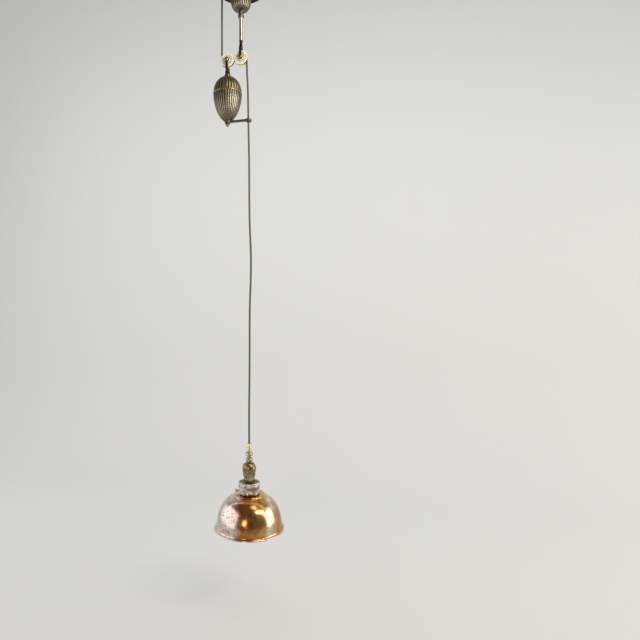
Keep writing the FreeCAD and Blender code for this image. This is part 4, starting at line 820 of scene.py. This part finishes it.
def gallery():
    """The drum that carries the shade: a flat top, a raised lip and a beaded foot."""
    low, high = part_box("gallery")
    reach, bore, wall = (high[0] - low[0]) / 2, 13.35 * MM, 1.3 * MM
    side, top = reach - 0.7 * MM, high[2] - 1.0 * MM
    outline = [(bore, top, 0), (side - 3.2 * MM, top, 0)]
    outline += swept([(side - 2.6 * MM, top + 0.1 * MM), (side - 1.7 * MM, top + 0.85 * MM),
                      (side - 0.9 * MM, high[2]), (side - 0.2 * MM, top + 0.55 * MM),
                      (side, top - 0.6 * MM)], 4)
    outline += [(side, low[2] + 3.2 * MM, 1), (side, low[2] + 2.3 * MM, 1)]
    outline += arc(side - 0.4 * MM, low[2] + 1.1 * MM, 1.1 * MM, 70, -90, 10)
    outline += [(side - wall, low[2], 0), (side - wall, top - wall, 0), (bore, top - wall, 0)]
    stand_in("gallery", "shade_gallery", lathe(outline, 120, x=LAMP_X))


def thumb_screws():
    """Three knurled thumb screws that hold the shade's neck, each on its own body."""
    low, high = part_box("thumb_screw_2")
    level = (low[2] + high[2]) / 2
    shank, collar, grip = 1.6 * MM, 2.4 * MM, 4.0 * MM
    tip, head, end = 27.3 * MM, 35.5 * MM, 40.0 * MM
    knurls, fineness, first = 20, 6, 195
    outline = [(0, tip, 0), (shank * 0.7, tip, 0), (shank, tip + 0.5 * MM, 0),
               (shank, head - 3.0 * MM, 0), (collar, head - 2.4 * MM, 0), (collar, head, 0),
               (grip * 0.88, head, 0)]
    outline += [(grip, head + (0.5 + 0.7 * n) * MM, 1) for n in range(5)]
    outline += [(grip * 0.86, end - 0.6 * MM, 0), (grip * 0.5, end - 0.1 * MM, 0), (0, end, 0)]
    for number in (1, 2, 3):
        node = f"thumb_screw_{number}"
        mesh = lathe(outline, knurls * fineness, "reeded")
        mesh = reeded(mesh, node, knurls, 0.35 * MM, 0.0, grip)
        turn = Matrix.Rotation(math.radians(first + 120 * (number - 1)), 4, "Z")
        lay = Matrix.Rotation(math.pi / 2, 4, "Y")
        mesh.transform(Matrix.Translation((LAMP_X, 0, level)) @ turn @ lay)
        stand_in(node, f"knurled_{node}", mesh)


def shade():
    """The spun shade: neck, sloping shoulder with a ring, deep dome and rolled rim."""
    low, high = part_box("shade")
    reach, wall, bead = (high[0] - low[0]) / 2, 1.0 * MM, 2.2 * MM
    neck, top = 27.0 * MM, high[2] - 20 * MM
    start, wide = 31.0 * MM, 91.5 * MM
    foot, crown = low[2] + 10 * MM, top - 3.5 * MM

    def dome(inset, value):
        def point(share):
            angle = share * math.pi / 2
            radius = start + (wide - start - inset) * math.sin(angle)
            return radius, foot + (crown - foot - inset) * math.cos(angle), value
        return point

    shoulder = [
        (neck, top + 4.0 * MM), (neck + 0.1 * MM, top + 1.2 * MM),
        (neck + 1.4 * MM, top + 0.1 * MM), (34.0 * MM, top - 0.9 * MM),
        (39.4 * MM, top - 1.7 * MM), (41.2 * MM, top - 1.35 * MM), (42.6 * MM, top - 2.4 * MM),
        (43.6 * MM, top - 4.1 * MM),
    ]
    flare = [
        (wide, foot), (91.9 * MM, low[2] + 7.0 * MM), (92.9 * MM, low[2] + 5.2 * MM),
        (94.6 * MM, low[2] + 4.35 * MM), (reach - bead, low[2] + bead * 2),
    ]
    outline = [(neck, high[2], 1), (neck, high[2] - 8 * MM, 1)] + swept(shoulder, 5)
    outline += along(dome(0, 1), 0.16, 0.98, 34) + swept(flare, 4)
    outline += arc(reach - bead, low[2] + bead, bead, 80, -200, 18)
    outline += [(93.0 * MM, low[2] + 3.7 * MM, 0), (91.6 * MM, low[2] + 5.0 * MM, 0)]
    outline += along(dome(wall, 0), 0.985, 0.17, 26)
    outline += [(r - 0.2 * MM, z - wall, 0) for r, z in shoulder[:3:-1]]
    outline += [(neck - wall, top - wall, 0), (neck - wall, high[2], 0)]
    mesh = lathe(outline, 180, x=LAMP_X)
    # Small dents that fade out towards the shoulder and the rim.
    for vertex in mesh.vertices:
        place = vertex.co
        depth = (top - 6 * MM - place.z) / (top - low[2])
        slack = max(0.0, min(1.0, depth * 4)) * max(0.0, min(1.0, (0.93 - depth) * 6))
        dent = noise.noise(place * 24) * 0.45 * MM + noise.noise(place * 60) * 0.12 * MM
        out = Vector((place.x - LAMP_X, place.y, 0)).normalized()
        vertex.co = place + out * (dent - 0.2 * MM) * slack
    stand_in("shade", "spun_shade", mesh)


# ---------------------------------------------------------------- flex
def smooth_route(points):
    """The smooth line that control points in millimetres draw, as points in metres."""
    curve = bpy.data.curves.new("route", "CURVE")
    curve.dimensions = "3D"
    spline = curve.splines.new("NURBS")
    spline.points.add(len(points) - 1)
    for point, (x, z) in zip(spline.points, points):
        point.co = (x * MM, 0, z * MM, 1)
    spline.order_u = 3
    spline.use_endpoint_u = True
    curve.resolution_u = 16
    holder = bpy.data.objects.new("route", curve)
    scene.collection.objects.link(holder)
    line = bpy.data.meshes.new_from_object(holder)
    route = [v.co.copy() for v in line.vertices]
    bpy.data.objects.remove(holder)
    bpy.data.curves.remove(curve)
    bpy.data.meshes.remove(line)
    return route


def flex_tube(name, route, sides=16):
    """A round tube along a route in the XZ plane, with a UV map that follows the braid."""
    verts, faces, uvs = [], [], []
    run = [0.0]
    for before, after in zip(route, route[1:]):
        run.append(run[-1] + (after - before).length)
    for i, point in enumerate(route):
        ahead, behind = route[min(i + 1, len(route) - 1)], route[max(i - 1, 0)]
        side = (ahead - behind).normalized().cross(Vector((0, 1, 0)))
        for k in range(sides):
            angle = math.tau * k / sides
            out = side * math.cos(angle) + Vector((0, 1, 0)) * math.sin(angle)
            verts.append(point + out * FLEX_RADIUS)
    for i in range(len(route) - 1):
        for k in range(sides):
            after = (k + 1) % sides
            faces.append((i * sides + k, i * sides + after,
                          (i + 1) * sides + after, (i + 1) * sides + k))
            for corner, ring in ((k, i), (k + 1, i), (k + 1, i + 1), (k, i + 1)):
                uvs.append((corner / sides, run[ring]))
    for ring, flip in ((0, True), (len(route) - 1, False)):
        cap = [ring * sides + k for k in range(sides)]
        faces.append(tuple(reversed(cap)) if flip else tuple(cap))
        uvs += [(0, run[ring])] * sides
    mesh = bpy.data.meshes.new(name)
    mesh.from_pydata(verts, [], faces)
    layer = mesh.uv_layers.new(name="braid")
    layer.data.foreach_set("uv", [c for uv in uvs for c in uv])
    mesh.shade_smooth()
    mesh.materials.append(FINISHES["braided_flex"])
    flex = bpy.data.objects.new(name, mesh)
    scene.collection.objects.link(flex)
    return flex, run[-1]


def around(centre, angles):
    """Control points, 30 degrees apart, of a spline that lies in a pulley's groove, in mm."""
    reach = PITCH_RADIUS / MM / math.cos(math.radians(15))
    return [
        (centre.x / MM + reach * math.cos(math.radians(a)),
         centre.z / MM + reach * math.sin(math.radians(a)))
        for a in angles
    ]


def lay_flex(name, stands_for, route):
    """One stretch of the flex along a route, in place of the CAD pieces it stands for."""
    flex, length = flex_tube(name, route)
    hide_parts(*stands_for)
    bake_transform(flex)


# The side of the lower pulley that the strand from the ceiling comes down on.
STRAND_X = (LOWER_WHEEL.x - PITCH_RADIUS) / MM


def anchored_strand():
    """From the bush in the ceiling plate straight down to the lower pulley."""
    route = smooth_route([(STRAND_X, z) for z in (-4.5, -100, -177, -209.5)])
    lay_flex(
        "flex_from_the_ceiling", ["flex_anchor_strand"], route,
    )


def reeved_flex():
    """Under the lower pulley, up between the two, and over the upper one."""
    route = smooth_route(
        [(STRAND_X, LOWER_WHEEL.z / MM)]
        + around(LOWER_WHEEL, [195, 225, 255, 285, 315])
        + [(-23.7, -215.2), (-19.68, -208.0), (-15.7, -200.8)]
        + around(UPPER_WHEEL, [135, 105, 75, 45, 15])
        + [(PITCH_RADIUS / MM, UPPER_WHEEL.z / MM)]
    )
    lay_flex(
        "flex_round_the_pulleys", ["flex_lower_wrap", "flex_crossing", "flex_upper_wrap"], route,
    )


# The long stretch to the lamp, as (x, z) in millimetres: pressed out by the guide arm,
# then the slow waves of an old flex.
DROP_ROUTE = [
    (16.5, -206.5),
    (16.7, -226), (17.6, -246), (19.2, -274), (20.6, -312), (21.2, -354), (21.6, -398),
    (22.8, -450), (24.0, -512), (24.1, -578), (24.5, -644), (26.3, -700), (28.9, -752),
    (29.3, -800), (27.6, -850), (25.7, -900), (25.1, -962), (25.2, -1032), (24.8, -1096),
    (24.0, -1160), (23.5, -1216), (23.7, -1256), (23.85, -1280), (23.85, -1299.1),
]


def lamp_flex():
    """From the upper pulley through the guide arm's ferrule into the cord grip."""
    route = smooth_route(DROP_ROUTE)
    lay_flex(
        "flex_to_the_lamp", ["flex_drop"], route,
    )


# ---------------------------------------------------------------- camera, light and room
def camera():
    """As the photograph: level, from the right of the lamp, with the lamp left of the middle."""
    data = bpy.data.cameras.new("camera")
    data.lens = 28.3
    data.sensor_width = 36
    data.shift_x = 0.0902
    eye = bpy.data.objects.new("camera", data)
    eye.location = (0.3904, -1.3595, -0.942)
    eye.rotation_euler = (math.radians(90), 0, math.radians(13.6))
    scene.collection.objects.link(eye)
    scene.camera = eye


def seen_from_shade(turn, rise, distance):
    """The place at turn degrees right of the front, and rise above level, from the shade."""
    turn, rise = math.radians(turn), math.radians(rise)
    return SHADE_MIDDLE + distance * Vector((
        math.cos(rise) * math.sin(turn), -math.cos(rise) * math.cos(turn), math.sin(rise),
    ))


def softbox(name, place, size, glow, tint, aim=None, roll=0):
    """A soft light that faces the shade, or its own aim, unseen by the camera.

    The glow is its radiance, so a mirror shows it as bright at any size.
    """
    data = bpy.data.lights.new(name, "AREA")
    data.shape = "RECTANGLE"
    data.size, data.size_y = size
    data.energy = math.pi * size[0] * size[1] * glow
    data.color = colour(tint)[:3]
    box = bpy.data.objects.new(name, data)
    box.location = place
    facing = ((aim or SHADE_MIDDLE) - place).to_track_quat("-Z", "Y")
    box.rotation_euler = (facing @ Quaternion((0, 0, 1), math.radians(roll))).to_euler()
    box.visible_camera = False
    scene.collection.objects.link(box)


def backdrop_paper():
    """Seamless paper: pale, matt and even.

    Half of what is seen of it is its own colour, so its far ends stay pale too.
    """
    made, tree, _ = new_material("backdrop paper")
    pale = colour("#dcdcda")
    ray = add(tree, "ShaderNodeLightPath")
    mirrored = add(tree, "ShaderNodeMath", {
        0: ray.outputs["Is Glossy Ray"], 1: ray.outputs["Is Transmission Ray"],
    }, operation="MAXIMUM")
    seen = add(tree, "ShaderNodeMath", {
        0: ray.outputs["Is Camera Ray"], 1: mirrored,
    }, operation="MAXIMUM")
    half = add(tree, "ShaderNodeMath", {0: seen, 1: 0.5}, operation="MULTIPLY")
    lit = add(tree, "ShaderNodeBsdfPrincipled", {"Base Color": pale, "Roughness": 0.9})
    plain = add(tree, "ShaderNodeEmission", {"Color": pale})
    shader = add(tree, "ShaderNodeMixShader", {0: half, 1: lit, 2: plain})
    add(tree, "ShaderNodeOutputMaterial", {"Surface": shader})
    return made


def backdrop():
    """The paper: flat below the lamp, then turned up and straight behind it."""
    floor, front, back, top, turn, width = -1.75, -12.0, 1.5, 5.0, 0.6, 20.0
    steps = 12
    profile = [(front, floor), (back - turn, floor)]
    for step in range(1, steps + 1):
        angle = math.pi / 2 * step / steps
        profile.append((back - turn + turn * math.sin(angle), floor + turn - turn * math.cos(angle)))
    profile.append((back, top))
    verts = [(side * width / 2, y, z) for y, z in profile for side in (-1, 1)]
    faces = [(2 * i, 2 * i + 1, 2 * i + 3, 2 * i + 2) for i in range(len(profile) - 1)]
    mesh = bpy.data.meshes.new("backdrop")
    mesh.from_pydata(verts, [], faces)
    mesh.shade_smooth()
    mesh.materials.append(backdrop_paper())
    sweep = bpy.data.objects.new("backdrop", mesh)
    scene.collection.objects.link(sweep)


def lights():
    """A grey room, and soft boxes where the metal mirrors windows, a strip and a lamp."""
    scene.view_settings.view_transform = "Standard"
    world = bpy.data.worlds.new("studio")
    world.use_nodes = True
    background = world.node_tree.nodes["Background"]
    background.inputs["Color"].default_value = colour("#c9cbce")
    background.inputs["Strength"].default_value = 0.36
    scene.world = world

    softbox("left window", seen_from_shade(-64, 18, 1.9), (2.3, 1.6), 1.3, "#fbf9f8")
    softbox("left rear window", seen_from_shade(-112, 8, 3.6), (2.3, 1.9), 0.8, "#f8f8fa")
    softbox("right window", seen_from_shade(97, 15, 2.7), (1.9, 1.95), 2.3, "#fffaf2")
    softbox("high strip", seen_from_shade(67, 43, 1.7), (0.8, 0.15), 24, "#fffaf0", roll=-22)
    softbox("table lamp", seen_from_shade(-1.3, 14.7, 2.0), (0.26, 0.38), 22, "#fff0d6")
    weight = Vector((-0.02, 0, -0.28))
    softbox("right top", Vector((0.46, -0.28, 0.14)), (0.36, 0.3), 5, "#fffdf8", aim=weight)
    softbox("right middle", Vector((0.48, -0.32, -0.34)), (0.22, 0.5), 5, "#fffdf8", aim=weight)
    softbox("backdrop wash", Vector((0.2, 0.3, 0.2)), (4.2, 1.2), 1.1, "#ffffff",
            aim=Vector((0.2, 1.5, -0.4)))


camera()
backdrop()
lights()
dress_frame()
anchored_strand()
reeved_flex()
lamp_flex()
ceiling_cup()
weight_lid()
weight_body()
pulleys()
cord_grip()
knobs()
holder_cap()
gallery()
thumb_screws()
shade()
